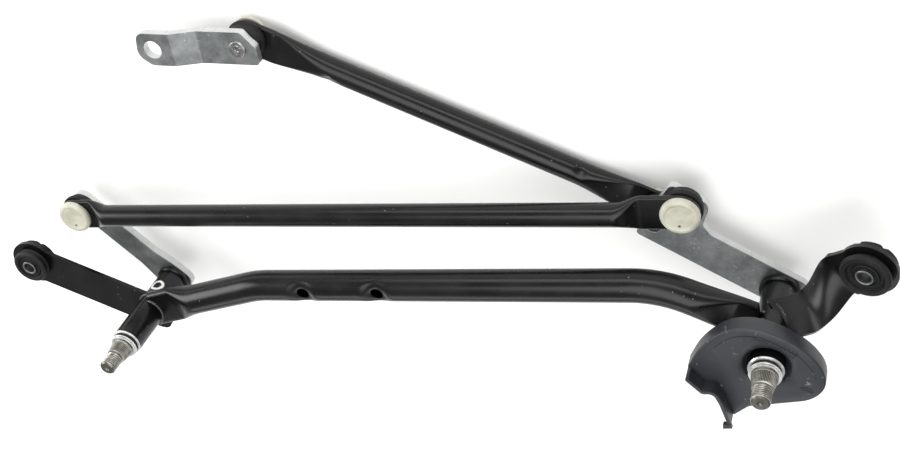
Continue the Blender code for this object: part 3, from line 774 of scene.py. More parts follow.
# %% Cross tube
TUBE_D = 22.0
TUBE_WALL = 1.6
TUBE_FLAT_W = 29.0
TUBE_FLAT_H = 7.0
TUBE_Z = 5.0
TUBE_CORNERS = (Vector((194, -14.7, TUBE_Z)), Vector((484, -7.7, TUBE_Z)))
LEFT_PRESS = (24.0, 22.0, 6.0)
RIGHT_PRESS = (20.0, 37.0, 15.0)
BEND_RADIUS = 80.0
CLIP_DENTS = (Vector((233.4, -15.2, 0)), Vector((290.6, -14.0, 0)))
DENT_R = 12.5
DENT_DEPTH = 4.6
PUNCH_R = 4.6
TRIM_BACK = 7.3
TRIM_STEP_Y = -36


def bent_path(points, radius, steps=18):
    """Polyline with its corners replaced by curves that start and end on the straight runs."""
    out = [points[0]]
    for p, q, r in zip(points, points[1:], points[2:]):
        back, ahead = (p - q).normalized(), (r - q).normalized()
        reach = radius / math.tan(back.angle(ahead) / 2)
        for k in range(steps + 1):
            t = k / steps
            out.append((q + back * reach) * (1 - t) ** 2 + q * 2 * t * (1 - t)
                       + (q + ahead * reach) * t * t)
    return out + [points[-1]]


def walk(points, step):
    """Points every `step` millimetres along a path, with the distance run and the direction."""
    out, run = [], 0.0
    for p, q in zip(points, points[1:]):
        gap = (q - p).length
        cuts = max(1, round(gap / step))
        out += [(p.lerp(q, k / cuts), run + gap * k / cuts, (q - p).normalized()) for k in range(cuts)]
        run += gap
    out.append((points[-1], run, (points[-1] - points[-2]).normalized()))
    return out, run


def cross_tube():
    level = UP * TUBE_Z
    path = bent_path([LEFT_PIVOT + level, *TUBE_CORNERS, RIGHT_PIVOT + level], BEND_RADIUS)
    points, total = walk(path, PRESS_STEP)
    stations = []
    for i, (p, s, d) in enumerate(points):
        d = (d + points[i - 1][2]).normalized() if i else d
        side = Vector((-d.y, d.x, 0)).normalized()
        press = LEFT_PRESS if s < total / 2 else RIGHT_PRESS
        section = squeezed(min(s, total - s), TUBE_FLAT_W, TUBE_FLAT_H, TUBE_D, *press)
        stations.append((p, side, section))
    crown = UP * (TUBE_Z + TUBE_D / 2)
    clip_dents = [dimple(spot + crown, DENT_R, DENT_DEPTH) for spot in CLIP_DENTS]
    shape = formed_tube("cross_tube_formed", stations, TUBE_WALL, pushes(*clip_dents))
    for spot in CLIP_DENTS:
        punch_profile = [(0, 0), (PUNCH_R, 0), (PUNCH_R, 20), (0, 20)]
        punch = turned("punch", punch_profile, spot + UP * TUBE_Z, sides=40)
        combine(shape, punch, "DIFFERENCE")
    for pivot in PIVOT.values():
        drill(shape, SLEEVE_R + FIT_GAP, pivot, THROUGH)
    left, right = LEFT_PIVOT.x + 3, RIGHT_PIVOT.x
    beyond_the_sleeves = [((left - 60, -90), (left, -90), (left, 10), (left - 60, 10)),
                          ((right + 0.5, -90), (right + 60, -90), (right + 60, 10),
                           (right - TRIM_BACK, 10), (right - TRIM_BACK, TRIM_STEP_Y),
                           (right + 0.5, TRIM_STEP_Y))]
    for corners in beyond_the_sleeves:
        combine(shape, plate("trim", [Vector(c) for c in corners], -60, 60), "DIFFERENCE")
    return fit(shade(shape), "frame", "black_coat", black_coat, "cross_tube")


cross_tube()

# %% [markdown]
# ## Pivot sleeves and what closes them
#
# Each sleeve is a length of thick tube with a bare machined rim at its front. An O-ring, a bare steel
# washer and a spring clip in the spindle's groove keep the grease in. A clip of this kind is one flat
# spring ring with an opening and inner teeth, so it is cut from an outline with a wave in its radius.

# %% Sleeves, seals and clips
SLEEVE_BORE_R = 9.1
RIM = 1.1
RING_MIDDLE_R, RING_HALF = 8.4, 1.1
WASHER_HOLE_R = 7.25
CLIP_HEIGHT = (47.9, 48.9)
CLIP_OUTER_R, CLIP_INNER_R = 9.3, 8.15
CLIP_TOOTH = 1.4
CLIP_OPENING = 45
COLLAR_R = 12.9


def bare_rim(front):
    """Tells the machined rim from the coated outside of a sleeve."""
    return lambda centre: centre.z > front - RIM


def pivot_sleeve(side, coat):
    low, high = span(f"{side}_pivot_sleeve")
    shape = turned(f"{side}_sleeve", [
        (SLEEVE_BORE_R, low.z), (SLEEVE_R, low.z, 0.8), (SLEEVE_R, high.z - 0.9),
        (SLEEVE_R - 0.75, high.z), (SLEEVE_BORE_R + 0.2, high.z), (SLEEVE_BORE_R, high.z - 0.4)],
                   PIVOT[side], sides=96)
    fit(shade(shape), "frame", "black_coat", coat, f"{side}_pivot_sleeve",
        second=machined_steel, where=bare_rim(high.z))


def o_ring(side):
    front = span(f"{side}_pivot_sleeve")[1].z
    section = [(RING_MIDDLE_R + RING_HALF * math.cos(a), front + 1.4 + RING_HALF * math.sin(a))
               for a in (math.radians(20 * k) for k in range(18))]
    fit(shade(turned(f"{side}_ring", section, PIVOT[side])), "frame", "rubber", rubber, f"{side}_o_ring")


def washer(side, place, body):
    low, high = span(f"{side}_{place}_washer")
    outer = (high.x - low.x) / 2
    shape = turned(f"{side}_{place}_disc", [
        (WASHER_HOLE_R, low.z), (outer, low.z, 0.25), (outer, high.z, 0.25), (WASHER_HOLE_R, high.z)],
                   PIVOT[side], sides=64)
    fit(shade(shape), body, "bright_steel", machined_steel, f"{side}_{place}_washer")


def spring_clip(side, body):
    """Flat clip with three inner teeth and an opening."""
    middle_xy = PIVOT[side].xy
    steps = 84
    start, sweep = CLIP_OPENING / 2 - 90, 360 - CLIP_OPENING
    angles = [math.radians(start + sweep * k / steps) for k in range(steps + 1)]
    outer = [middle_xy + CLIP_OUTER_R * Vector((math.cos(a), math.sin(a))) for a in angles]
    inner = []
    for a in angles:
        tooth = max(0.0, math.cos(3 * (a + math.pi / 2) + math.pi)) ** 0.6
        inner.append(middle_xy + (CLIP_INNER_R - CLIP_TOOTH * tooth) * Vector((math.cos(a), math.sin(a))))
    shape = plate(f"{side}_clip", outer + inner[::-1], *CLIP_HEIGHT)
    fit(soften(shape, 0.14, 2), body, "bright_steel", machined_steel, f"{side}_circlip")


def rear_collar(side):
    """The pressed-on seal carrier round a sleeve's rear end."""
    rear = span(f"{side}_pivot_sleeve")[0].z
    shape = turned(f"{side}_rear_collar", [
        (SLEEVE_R - 0.3, rear - 0.9), (COLLAR_R, rear - 0.9, 0.3), (COLLAR_R, rear + 2.0, 0.9),
        (11.7, rear + 2.8, 0.4), (SLEEVE_R - 0.3, rear + 2.9)], PIVOT[side], sides=96)
    fit(shade(shape), "frame", "black_coat", black_coat)


for side, coat in (("left", left_sleeve_coat), ("right", right_sleeve_coat)):
    pivot_sleeve(side, coat)
    rear_collar(side)
    o_ring(side)
    washer(side, "front", f"{side}_crank")
    washer(side, "rear", f"{side}_crank")
    spring_clip(side, f"{side}_crank")
    for place in ("front", "rear"):
        bearing = frame["nodes"][f"{side}_{place}_bearing"]
        bearing.data.materials.clear()
        bearing.data.materials.append(bronze)

# %% [markdown]
# ## Wiper spindles
#
# A spindle carries the wiper arm on a knurled cone under a nut. The knurl is a ring of small ridges and
# the thread is one helix, so both are a change of radius with the angle. One fine lathe skin takes both,
# which keeps the shoulders between them in the same mesh.

# %% Spindles
TIP_Z = span("right_spindle")[1].z
SPINDLE_R = 7.0
SPINDLE_HEAD_R = 8.6
LEVER_SEAT_R = 6.4
GROOVE_R = 6.4
RELIEF_R = 5.25
KNURL_TEETH = 44
KNURL_DEPTH = 0.5
THREAD_PITCH = 1.5
THREAD_DEPTH = 0.85
THREAD_START = CONE_TOP_Z + 1.3
THREAD_END = TIP_Z - 1.4


def triangle_wave(turns):
    """1 at whole turns, 0 half way between."""
    return abs(2 * (turns % 1.0) - 1)


def spindle_radius(angle, radius, height):
    turns = angle / (2 * math.pi)
    if CONE_BASE_Z + 1.2 < height < CONE_TOP_Z - 0.5:
        return radius - KNURL_DEPTH * (1 - triangle_wave(KNURL_TEETH * turns))
    if THREAD_START < height < THREAD_END:
        crest = triangle_wave(height / THREAD_PITCH - turns)
        cut = min(1.0, max(0.0, 1.35 * (1 - crest) - 0.12))
        run_out = min(1.0, (height - THREAD_START) / 0.8, (THREAD_END - height) / 0.5)
        return radius - THREAD_DEPTH * cut * run_out
    return radius


def spindle(side):
    pivot = PIVOT[side]
    rear = span(f"{side}_spindle")[0].z
    lever_front = span(f"{side}_lever")[1].z
    profile = [(0, rear), (7.2, rear, 0.5), (SPINDLE_HEAD_R, rear + 1.1, 0.4),
               (SPINDLE_HEAD_R, rear + 2.0), (LEVER_SEAT_R, rear + 2.0),
               (LEVER_SEAT_R, lever_front + 0.1), (SPINDLE_R, lever_front + 0.1), (SPINDLE_R, 47.7),
               (GROOVE_R, 47.7), (GROOVE_R, 49.1), (SPINDLE_R, 49.1), (CONE_BASE_R, CONE_BASE_Z, 0.2)]
    for z in (CONE_BASE_Z + CONE_COLLAR, CONE_BASE_Z + 1.15, CONE_BASE_Z + 1.25, CONE_BASE_Z + 1.6,
              CONE_TOP_Z - 0.9, CONE_TOP_Z - 0.55, CONE_TOP_Z - 0.45, CONE_TOP_Z):
        profile.append((CONE_BASE_R + CONE_SLOPE * (z - CONE_BASE_Z - CONE_COLLAR), z))
    profile += [(RELIEF_R, CONE_TOP_Z + 0.45), (RELIEF_R, CONE_TOP_Z + 0.9), (THREAD_R, THREAD_START)]
    threaded = THREAD_END - THREAD_START
    rows = round(threaded / (THREAD_PITCH / 9))
    profile += [(THREAD_R, THREAD_START + threaded * k / rows) for k in range(1, rows + 1)]
    profile += [(THREAD_R - 0.25, THREAD_END + 0.5, 0.3), (THREAD_R - 1.25, TIP_Z, 0.3),
                (1.9, TIP_Z), (1.2, TIP_Z - 0.7), (0, TIP_Z - 1.1)]
    shape = turned(f"{side}_shaft", profile, pivot, sides=KNURL_TEETH * 6, wave=spindle_radius)
    fit(shade(shape), f"{side}_crank", "spindle_steel", spindle_steel[side], f"{side}_spindle")


spindle("left")
spindle("right")

# %% [markdown]
# ## Levers
#
# The levers are stamped from 6 mm plate and pressed onto the spindles. The punch rounds the edge on one
# side, which the bevel shows. The right lever widens into an ear that carries the drive link's ball.

# %% Levers
LEVER_EDGE = 0.7
LEVER_BORE_R = 6.5
STUD_SHANK_R = 4.7
LEFT_LEVER_OUTLINE = [(-13, -12.5, 8), (9, -12.5, 8), (26, -9.8, 12), (98.3, -9.8, 7), (98.3, 9.8, 7),
                      (26, 9.8, 12), (9, 12.5, 8), (-13, 12.5, 8)]
RIGHT_LEVER_OUTLINE = [(-15, -13, 6), (57, -13, 6), (65, -17, 4), (68, -33.5, 7), (96.5, -33.5, 4),
                       (98, -13, 30), (98, 13, 3), (-15, 13, 6)]
RIGHT_LEVER_TURN = math.radians(145.5)


def lever(side, outline, angle, balls):
    pivot = PIVOT[side]
    low, high = span(f"{side}_lever")
    points = [Matrix.Rotation(angle, 2) @ p + pivot.xy for p in fillet(outline)]
    shape = plate(f"{side}_stamping", points, low.z, high.z)
    drill(shape, LEVER_BORE_R, pivot, THROUGH)
    for ball in balls:
        drill(shape, STUD_SHANK_R, ball, THROUGH)
    fit(soften(shape, LEVER_EDGE, 4), f"{side}_crank", "zinc_plate", zinc_plate, f"{side}_lever")


ball_line = LEFT_BALL - LEFT_PIVOT
lever("left", LEFT_LEVER_OUTLINE, math.atan2(ball_line.y, ball_line.x), [LEFT_BALL])
lever("right", RIGHT_LEVER_OUTLINE, RIGHT_LEVER_TURN, [RIGHT_BALL, DRIVE_BALL])

# %% [markdown]
# ## Ball studs
#
# A stud's shank goes through its plate and is staked over: a press spreads the end into a flat head
# with a ring mark and a few punch marks. The ball itself hides in its socket, and only its neck shows.

# %% Ball studs
BALL_R = 6.5
NECK_R = 4.2
COLLAR_OF_STUD_R = 7.4
PLATE_T = 6.0


def ball_stud(node, ball, face, away, body):
    """face is the plate's height on the ball's side; away points from the plate to the ball."""
    h = abs(ball.z - face)
    back = -h - PLATE_T

    def punch_marks(angle, radius, height):
        on_head = height < back - 1.0 and 2.4 < radius < 5.2
        return radius * (1 + 0.07 * math.cos(9 * angle)) if on_head else radius

    profile = [(0, back - 1.35), (1.1, back - 1.35), (1.6, back - 1.75), (2.9, back - 1.75),
               (3.3, back - 1.35), (4.6, back - 1.5), (5.5, back - 1.5, 0.4), (6.2, back - 0.1, 0.2),
               (STUD_SHANK_R - FIT_GAP, back - 0.1), (STUD_SHANK_R - FIT_GAP, -h + 0.1),
               (COLLAR_OF_STUD_R, -h + 0.1, 0.2), (COLLAR_OF_STUD_R, -h + 1.1, 0.3),
               (NECK_R, -h + 1.4, 0.3)]
    start = -math.acos(NECK_R / BALL_R)
    for k in range(14):
        a = start - start * k / 14 + math.pi / 2 * k / 14
        profile.append((BALL_R * math.cos(a), BALL_R * math.sin(a)))
    profile.append((0, BALL_R))
    shape = turned(f"{node}_turned", profile, ball, UP * away, sides=72, wave=punch_marks)
    fit(shade(shape), body, "bright_steel", bright_steel, node)


left_face = span("left_lever")[1].z
right_rear, right_face = (corner.z for corner in span("right_lever"))
CRANK_STUD_FACE = -40.0
ball_stud("left_ball_stud", LEFT_BALL, left_face, 1, "left_crank")
ball_stud("right_drag_stud", RIGHT_BALL, right_face, 1, "right_crank")
ball_stud("right_drive_stud", DRIVE_BALL, right_rear, -1, "right_crank")
ball_stud("crank_ball_stud", CRANK_BALL, CRANK_STUD_FACE, -1, "motor_crank")

# %% [markdown]
# ## Nylon sockets and dust seals
#
# Each socket is an ivory nylon cup. Its closed cap shows on the outside: a shallow dished disc with a
# rounded edge and one small hole off its centre, where the mould let the air out. The rubber seal under
# the flat is a pleated ring, turned from a profile with two lips.

# %% Sockets and seals
CAVITY = {"drag_left": 7.0}
SNUG_CAVITY = 6.75
VENT_R = 1.05
VENT_OFFSET = Vector((-0.6, -6.4, 0))


def socket(which, ball, away, body):
    cavity = CAVITY.get(which, SNUG_CAVITY)
    start = math.asin(-3.4 / cavity)
    profile = [(0, cavity)]
    for k in range(1, 15):
        a = math.pi / 2 + (start - math.pi / 2) * k / 14
        profile.append((cavity * math.cos(a), cavity * math.sin(a)))
    profile += [(7.2, -4.3), (9.0, -4.3, 0.4), (10.1, -1.7, 0.3), (10.1, -0.5, 0.2), (9.4, -0.2),
                (9.4, 4.25), (12.7, 4.25, 0.25), (12.7, 6.6, 1.1), (11.6, 8.25, 1.4), (10.0, 8.6, 1.2),
                (8.6, 8.1, 1.6), (0, 8.0)]
    shape = turned(f"{which}_cup", profile, ball, UP * away, sides=80)
    vent = turned("vent", [(0, 4.6), (VENT_R, 4.6), (VENT_R, 10), (0, 10)], ball + VENT_OFFSET,
                  UP * away, sides=24)
    combine(shape, vent, "DIFFERENCE")
    fit(shade(shape), body, "nylon", nylon, f"{which}_socket")


def dust_seal(which, ball, away, reach, body):
    profile = [(10.6, -0.2), (13.2, -0.2, 0.3), (13.7, -1.5, 0.5), (12.9, -2.4, 0.3), (13.5, -3.3, 0.5),
               (12.4, -4.4, 0.4), (12.0, -reach + 0.3, 0.4), (8.4, -reach + 0.3), (8.4, -reach + 1.4),
               (10.6, -4.7)]
    shape = turned(f"{which}_ring", profile, ball, UP * away, sides=80)
    fit(shade(shape), body, "rubber", rubber, f"{which}_seal")


joints_made = [("drag_left", LEFT_BALL, 1, LEFT_BALL.z - left_face, "drag_link"),
               ("drag_right", RIGHT_BALL, 1, RIGHT_BALL.z - right_face, "drag_link"),
               ("drive_left", CRANK_BALL, -1, CRANK_STUD_FACE - CRANK_BALL.z, "drive_link"),
               ("drive_right", DRIVE_BALL, -1, right_rear - DRIVE_BALL.z, "drive_link")]
for which, ball, away, reach, body in joints_made:
    socket(which, ball, away, body)
    dust_seal(which, ball, away, reach, body)

# %% [markdown]
# ## The motor's crank
#
# A short thick arm with a double bend, so that the motor's shaft and the ball joint can sit at
# different heights. It is lofted along its length, cut to its outline, drilled and then softened. The
# bends stay crisp, because thick plate is bent over a sharp tool.

# %% Motor crank
CRANK_HUB = Vector((157.8, 159.0, 0.0))
CRANK_BORE_R = 6.4
CRANK_LOW, CRANK_HIGH = span("motor_crank_arm")
CRANK_BLANK_HALF = 16
BEND_FROM, BEND_TO = 28.5, 46.5


def motor_crank():
    foot = Vector((CRANK_BALL.x, CRANK_BALL.y, 0))
    along = (CRANK_HUB - foot).normalized()
    side = Vector((-along.y, along.x, 0))
    length = (CRANK_HUB - foot).length
    step = CRANK_HIGH.z - CRANK_LOW.z - PLATE_T
    stations = [-CRANK_BLANK_HALF, BEND_FROM, BEND_TO, length + CRANK_BLANK_HALF]
    blank = ((-1, 0), (1, 0), (1, PLATE_T), (-1, PLATE_T))
    verts = []
    for s in stations:
        t = min(1.0, max(0.0, (s - BEND_FROM) / (BEND_TO - BEND_FROM)))
        z = CRANK_LOW.z + step * t
        for which_side, dz in blank:
            verts.append(foot + along * s + side * CRANK_BLANK_HALF * which_side + UP * (z + dz))
    faces = [(0, 1, 2, 3), tuple(len(verts) - 4 + k for k in (3, 2, 1, 0))]
    for i in range(len(stations) - 1):
        a, b = 4 * i, 4 * i + 4
        faces += [(a + k, b + k, b + (k + 1) % 4, a + (k + 1) % 4) for k in range(4)]
    shape = new_shape("crank_arm_bent", verts, faces)
    outline = [(-13, -1, 4), (-13, 12, 2), (length + 3, 12, 7), (length + 13, 5, 9),
               (length + 10, -12, 6), (-4, -12, 3)]
    rest = Matrix.Rotation(math.atan2(along.y, along.x), 2)
    cutter = plate("outline", [rest @ p + foot.xy for p in fillet(outline, 12)], -60, -10)
    combine(shape, cutter, "INTERSECT")
    drill(shape, STUD_SHANK_R, foot, THROUGH)
    drill(shape, CRANK_BORE_R, CRANK_HUB, THROUGH)
    fit(soften(shape, 0.8, 4, 12), "motor_crank", "zinc_plate", zinc_plate, "motor_crank_arm")


motor_crank()

# %% [markdown]
# ## Brackets
#
# The left bracket is a flat strap with a rounded lug past its sleeve. The right one starts on a slant
# across its sleeve and twists until it lies flat at its eye, so it is lofted between two edge lines and
# given a thickness along the surface normal. Smooth curves through a few known places keep the twist
# even, and drilling it with the sleeve's radius cuts the slanted seam.

# %% Brackets
STRAP_T = 3.0
EYE_R = 18.0
EYE_HOLE_R = 12.3
STRAP_EDGE = 0.5
RIGHT_EYE = Vector((608.5, 3.0, -1.5))
RIGHT_EYE_AXIS = Vector((-0.27, -0.08, 0.96)).normalized()
STRAP_COLS = 15


def left_bracket():
    along = Vector((0.893, -0.450)).normalized()
    side = Vector((-along.y, along.x))
    end = LEFT_PIVOT.xy.dot(along)
    arc = [math.radians(57 + 246 * k / 48) for k in range(49)]
    points = [along * EYE_R * math.cos(a) + side * EYE_R * math.sin(a) for a in arc]
    strap = fillet([(24, -15), (end - 4, -15, 8), (end + 4, -13.5, 4), (end + 15, -12, 7),
                    (end + 16, 1, 7), (end + 6, 6, 4), (end + 2, 14, 6), (end - 8, 15, 5), (24, 15)])
    points += [along * p.x + side * p.y for p in strap]
    shape = plate("strap", points, -STRAP_T / 2, STRAP_T / 2)
    drill(shape, EYE_HOLE_R, ORIGIN, 9)
    drill(shape, SLEEVE_R + FIT_GAP, LEFT_PIVOT)
    fit(soften(shape, STRAP_EDGE, 3), "frame", "black_coat", black_coat, "left_bracket")


def smooth_through(knots, cuts):
    """Catmull-Rom curve through a row of points."""
    out, last = [], len(knots) - 1
    for i in range(last):
        p0, p1, p2, p3 = (knots[max(0, min(last, i + k))] for k in (-1, 0, 1, 2))
        for k in range(cuts):
            t = k / cuts
            out.append(0.5 * (2 * p1 + (p2 - p0) * t + (2 * p0 - 5 * p1 + 4 * p2 - p3) * t * t
                              + (3 * p1 - p0 - 3 * p2 + p3) * t ** 3))
    return out + [knots[-1]]


def strap_sheet(name, first_edge, second_edge):
    """A strap of even thickness between two edge lines."""
    verts, last = [], len(first_edge) - 1
    for i, (p, q) in enumerate(zip(first_edge, second_edge)):
        a, b = min(i + 1, last), max(i - 1, 0)
        for face in (-0.5, 0.5):
            for c in range(STRAP_COLS):
                t = c / (STRAP_COLS - 1)
                run = first_edge[a].lerp(second_edge[a], t) - first_edge[b].lerp(second_edge[b], t)
                verts.append(p.lerp(q, t) + run.cross(q - p).normalized() * STRAP_T * face)
    faces, row = [], 2 * STRAP_COLS
    for i in range(last):
        a, b = i * row, (i + 1) * row
        for c in range(STRAP_COLS - 1):
            u, v = a + STRAP_COLS + c, b + STRAP_COLS + c
            faces += [(a + c, a + c + 1, b + c + 1, b + c), (u, v, v + 1, u + 1)]
        for c in (0, STRAP_COLS - 1):
            faces.append((a + c, b + c, b + STRAP_COLS + c, a + STRAP_COLS + c))
    for a in (0, last * row):
        faces += [(a + c, a + c + 1, a + STRAP_COLS + c + 1, a + STRAP_COLS + c)
                  for c in range(STRAP_COLS - 1)]
    return new_shape(name, verts, faces)


def right_bracket():
    normal = RIGHT_EYE_AXIS
    ahead = Vector((0.85, 0.45, 0.0))
    ahead = (ahead - normal * ahead.dot(normal)).normalized()
    across_eye = normal.cross(ahead)
    lower = [Vector(p) + RIGHT_PIVOT for p in
             ((-4, 12.9, -7), (4, 13.0, -8), (15, 15.5, -11.5), (21.5, 22.0, -12.5), (28.4, 37.0, -12.5))]
    upper = [Vector(p) + RIGHT_PIVOT for p in
             ((12.3, 1.5, 14), (14.5, 3, 15.5), (19, 5.5, 17), (27, 5.0, 12.5), (36, 10.0, 5.5))]
    for back, half in ((21, 15.2), (16, 15.6), (8, 16.0)):
        lower.append(RIGHT_EYE - ahead * back + across_eye * half)
        upper.append(RIGHT_EYE - ahead * back - across_eye * half)
    shape = strap_sheet("twisted_strap", smooth_through(lower, 10), smooth_through(upper, 10))
    half = STRAP_T / 2 - 0.02
    disc = turned("disc", [(0, -half), (EYE_R, -half), (EYE_R, half), (0, half)], RIGHT_EYE, normal, 96)
    combine(shape, disc, "UNION")
    drill(shape, EYE_HOLE_R, RIGHT_EYE, 9, normal)
    drill(shape, SLEEVE_R + FIT_GAP, RIGHT_PIVOT, 40)
    fit(soften(shape, STRAP_EDGE, 2, 60), "frame", "black_coat", black_coat, "right_bracket")


left_bracket()
right_bracket()

# %% [markdown]
# ## Rubber bushes
#
# The bushes keep the car's body from humming with the motor. Each is one turned rubber moulding with a
# groove that snaps into its eye, a cup on the front and shallow rings in its face. Lobes on the rear
# flange are a wave in its radius. A steel sleeve takes the bolt's clamping force.

# %% Bushes
BUSH_HALF = 9.0
BUSH_BORE_R = 4.25
LOBES = 6


def bush_lobes(angle, radius, height):
    if height < -2.5 and radius > 12:
        dip = max(0.0, math.cos(LOBES * angle)) ** 6
        return radius - 1.5 * dip
    return radius


def bush(side, centre, axis, cup_r):
    """cup_r is the outer radius of the cup on the front."""
    sleeve = [(BUSH_BORE_R, -BUSH_HALF + 0.4), (BUSH_BORE_R + 0.4, -BUSH_HALF), (5.1, -BUSH_HALF),
              (5.5, -BUSH_HALF + 0.4), (5.5, BUSH_HALF - 0.4), (5.1, BUSH_HALF),
              (BUSH_BORE_R + 0.4, BUSH_HALF), (BUSH_BORE_R, BUSH_HALF - 0.4)]
    shape = turned(f"{side}_bolt_sleeve", sleeve, centre, axis, 64)
    fit(shade(shape), "frame", "bright_steel", dull_steel, f"{side}_bush_sleeve")
    neck = EYE_HOLE_R - 0.1
    rubber_skin = [(5.6, -7.0), (6.6, -7.6, 0.4), (8.0, -7.6, 0.3), (8.4, -7.0, 0.3), (9.6, -7.0, 0.3),
                   (10.0, -7.6, 0.3), (13.6, -7.6, 0.6), (15.8, -6.0, 0.8), (15.4, -1.7, 0.5),
                   (neck, -1.7), (neck, 1.7), (13.4, 1.75, 0.3), (cup_r - 2.4, 4.4, 0.6),
                   (cup_r, 5.2, 0.5), (cup_r, 7.2, 0.7), (cup_r - 1.3, 8.4, 0.5),
                   (cup_r - 3.6, 8.4, 0.6), (cup_r - 4.6, 6.4, 0.5), (8.8, 6.2, 0.3), (8.4, 7.4, 0.3),
                   (7.4, 7.5, 0.3), (7.0, 6.6, 0.3), (5.6, 6.6)]
    shape = turned(f"{side}_moulding", rubber_skin, centre, axis, 120, bush_lobes)
    fit(shade(shape), "frame", "rubber", rubber, f"{side}_bush_rubber")


bush("left", ORIGIN, UP, 13.6)
bush("right", RIGHT_EYE, RIGHT_EYE_AXIS, 15.4)

# %% [markdown]
# ## Weld beads
#
# A weld bead is a row of overlapping puddles. Sweeping a small circle along the joint and letting its
# radius swell once per puddle gives just that. The beads lie in the corner between sleeve and strap, so
# that half of each is buried in the metal. The last bead follows the right strap's slanted seam, so its
# height changes as it goes round.

# %% Welds
PUDDLE = 2.1
BEAD_R = 1.5
SEAM_BEAD_R = 2.0
BEAD_SIDES = 12


def weld(name, path, radius):
    """A rippled bead along a path, closed at both ends."""
    points, total = walk(path, 0.35)
    verts = []
    for point, run, direction in points:
        swell = abs(math.sin(math.pi * run / PUDDLE)) ** 0.7
        ends = min(1.0, min(run, total - run) / radius + 0.02)
        r = radius * (0.82 + 0.18 * swell) * math.sqrt(ends)
        across_bead = direction.cross(UP).normalized()
        for k in range(BEAD_SIDES):
            a = 2 * math.pi * k / BEAD_SIDES
            verts.append(point + across_bead * r * math.cos(a) + UP * r * math.sin(a))
    count = len(points)
    faces = [tuple(range(BEAD_SIDES)), tuple(range(len(verts) - 1, len(verts) - 1 - BEAD_SIDES, -1))]
    for i in range(count - 1):
        a, b = i * BEAD_SIDES, (i + 1) * BEAD_SIDES
        faces += [(a + k, a + (k + 1) % BEAD_SIDES, b + (k + 1) % BEAD_SIDES, b + k)
                  for k in range(BEAD_SIDES)]
    shape = new_shape(name, verts, faces)
    fit(shade(shape), "frame", "black_coat", weld_coat)


def round_the_sleeve(pivot, height, start, stop, steps=40):
    """Path round a sleeve at a height, between two angles in degrees."""
    angles = [math.radians(start + (stop - start) * k / steps) for k in range(steps + 1)]
    return [on_sleeve(pivot, a, height) for a in angles]


FLAT_TOP = TUBE_Z + TUBE_FLAT_H / 2
FLAT_BOTTOM = TUBE_Z - TUBE_FLAT_H / 2
weld("left_strap_weld_front", round_the_sleeve(LEFT_PIVOT, STRAP_T / 2, 95, 255), BEAD_R)
weld("left_strap_weld_rear", round_the_sleeve(LEFT_PIVOT, -STRAP_T / 2, 60, 290), BEAD_R)
weld("left_tube_weld_front", round_the_sleeve(LEFT_PIVOT, FLAT_TOP, -62, 76), BEAD_R)
weld("right_tube_weld_front", round_the_sleeve(RIGHT_PIVOT, FLAT_TOP, 110, 262), BEAD_R)
weld("right_tube_weld_rear", round_the_sleeve(RIGHT_PIVOT, FLAT_BOTTOM, 110, 262), BEAD_R)

STRAP_SEAM = [on_sleeve(RIGHT_PIVOT, math.radians(112 - 5 * k),
                        RIGHT_PIVOT.z - 8 + 22 * (k / 21) ** 1.4) for k in range(22)]
weld("right_strap_weld", STRAP_SEAM, SEAM_BEAD_R)

# %% [markdown]
# ## The spindle shield
#
# A plastic moulding keeps water off the right spindle's bearing. It starts as a thick plate with a
# rounded edge, and a Boolean hollows it from behind, which leaves the skirt. A funnel leads into the
# hole and a wall with a small hook stands round the notch. A fine line follows the rim, and two half
# moons and a small grid of recesses stand where a mould has its marks.

# %% Spindle shield
SHIELD_TOP = 41.0
SHIELD_T = 2.2
SKIRT = 12.0
NOTCH_WALL = 10.5
SHIELD_OUTLINE = [(-48, -3, 3), (-38, 15, 60), (-21, 29, 60), (-4, 30.5, 60), (13, 22.5, 60),
                  (26, 11.5, 60), (33.5, -2, 60), (34, -15, 60), (25, -25.5, 60), (-2, -31, 30),
                  (-13, -33, 8), (-24.5, -42.5, 2), (-28.5, -23, 3), (-31.5, -14, 6), (-38.5, -14.5, 3)]


def beside(path, distance):
    """The path shifted to its right-hand side, which is inward on the shield."""
    shifted = []
    for i, p in enumerate(path):
        d = (path[min(i + 1, len(path) - 1)] - path[max(i - 1, 0)]).normalized()
        shifted.append(p + Vector((d.y, -d.x)) * distance)
    return shifted


def wall(name, path, thick, bottom, top):
    return plate(name, path + beside(path, thick)[::-1], bottom, top)


def nearest(points, spot):
    return min(range(len(points)), key=lambda i: (points[i] - RIGHT_PIVOT.xy - Vector(spot)).length)


def half_moon(spot, turn_by, radius, top):
    """A low raised outline in the shape of a half moon."""
    rest = Matrix.Rotation(turn_by, 2)
    bow = [Vector((radius * math.cos(a), 0.62 * radius * math.sin(a)))
           for a in (math.pi * k / 24 for k in range(25))]
    chord = [Vector((radius * (k / 6 - 1), -0.05)) for k in range(13)]
    lines = [[rest @ p + RIGHT_PIVOT.xy + Vector(spot) for p in line] for line in (bow, chord)]
    return [wall("moon", line, -0.55, top - 0.2, top + 0.3) for line in lines]


def grid_cell(spot, turn_by, column, row, top):
    rest = Matrix.Rotation(turn_by, 2)
    x, y = 2.9 * (column - 2), 3.1 * (row - 1)
    corners = [(x, y), (x + 2.3, y), (x + 2.3, y + 2.5), (x, y + 2.5)]
    outline = [rest @ Vector(c) + RIGHT_PIVOT.xy + Vector(spot) for c in corners]
    return plate("cell", outline, top - 0.5, top + 2)


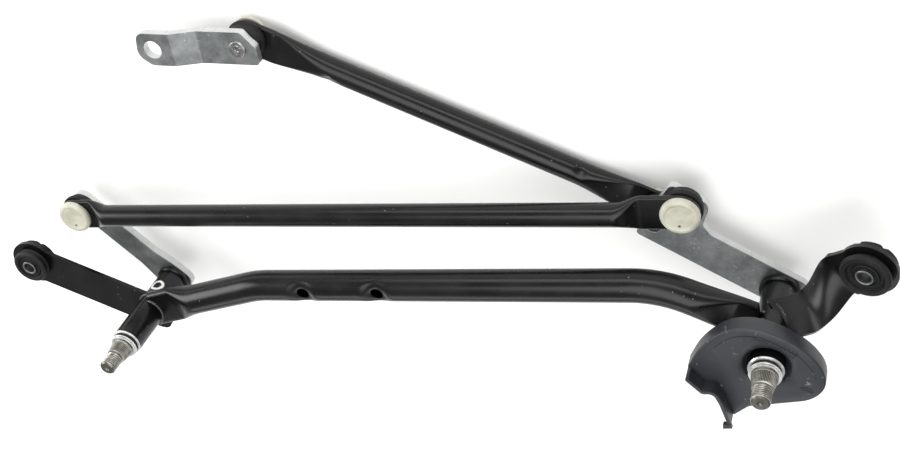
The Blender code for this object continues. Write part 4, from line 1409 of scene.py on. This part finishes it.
def spindle_shield():
    top, thick = SHIELD_TOP, SHIELD_T
    here = RIGHT_PIVOT.xy
    points = [p + here for p in fillet(SHIELD_OUTLINE[::-1], 9)][::-1]
    start = nearest(points, (-49, -4))
    ring = points[start:] + points[:start]
    stop = nearest(ring, (24, -25))
    shape = soften(plate("moulding", ring, top - SKIRT, top), 1.3, 5, 50)
    below = [here + Vector(c) for c in ((30, -60), (-62, -60), (-62, -9))]
    combine(shape, plate("hollow", beside(ring[:stop + 1], thick) + below, top - 30, top - thick),
            "DIFFERENCE")
    corner = here + Vector((-24.5, -42.5))
    notch = max(i for i in range(len(ring)) if (ring[i] - corner).length < 4)
    notch_line = ring[notch:] + ring[:2]
    combine(shape, wall("notch_wall", notch_line, thick, top - thick + 0.4, top + NOTCH_WALL), "UNION")
    hook = [here + Vector(c) for c in ((-28.4, -42.4), (-22.6, -41.8), (-23.4, -38.6), (-28.0, -38.8))]
    combine(shape, plate("hook", hook, top + NOTCH_WALL - 2.6, top + NOTCH_WALL + 0.3), "UNION")
    funnel = [(10.0, top - 8), (13.4, top - 8, 0.5), (15.6, top - 4.5, 3), (19.5, top - 1.6),
              (19.5, top - 0.6), (10.0, top - 0.6)]
    combine(shape, turned("funnel", funnel, RIGHT_PIVOT, sides=96), "UNION")
    hole_r = SLEEVE_R + FIT_GAP
    bore = [(0, top - 20), (hole_r, top - 20), (hole_r, top - 6.2), (12.6, top - 4.0, 3),
            (14.6, top - 1.2, 3), (18.2, top + 0.05), (18.2, top + 6), (0, top + 6)]
    combine(shape, turned("bore", bore, RIGHT_PIVOT, sides=96), "DIFFERENCE")
    rim_line = beside(ring, 5.2)[nearest(ring, (-34, 18)):nearest(ring, (33, -8))]
    combine(shape, wall("rim_line", rim_line, 0.6, top - 0.3, top + 1), "DIFFERENCE")
    for spot, turn_by in (((-2.4, 21.0), -0.3), ((22.0, -17.5), -0.5)):
        for line in half_moon(spot, turn_by, 4.2, top):
            combine(shape, line, "UNION")
    for column in range(4):
        for row in range(2):
            combine(shape, grid_cell((13.6, 13.4), -0.62, column, row, top), "DIFFERENCE")
    fit(soften(shape, 0.22, 2, 55), "frame", "shield_plastic", shield_plastic, "spindle_shield")


spindle_shield()

# %% [markdown]
# ## The mechanical model's box
#
# The box of the mechanical model is printed, corner by corner.

# %% Box of the mechanical model
print("cad box:", [[round(c, 4) for c in corner] for corner in cad_box])
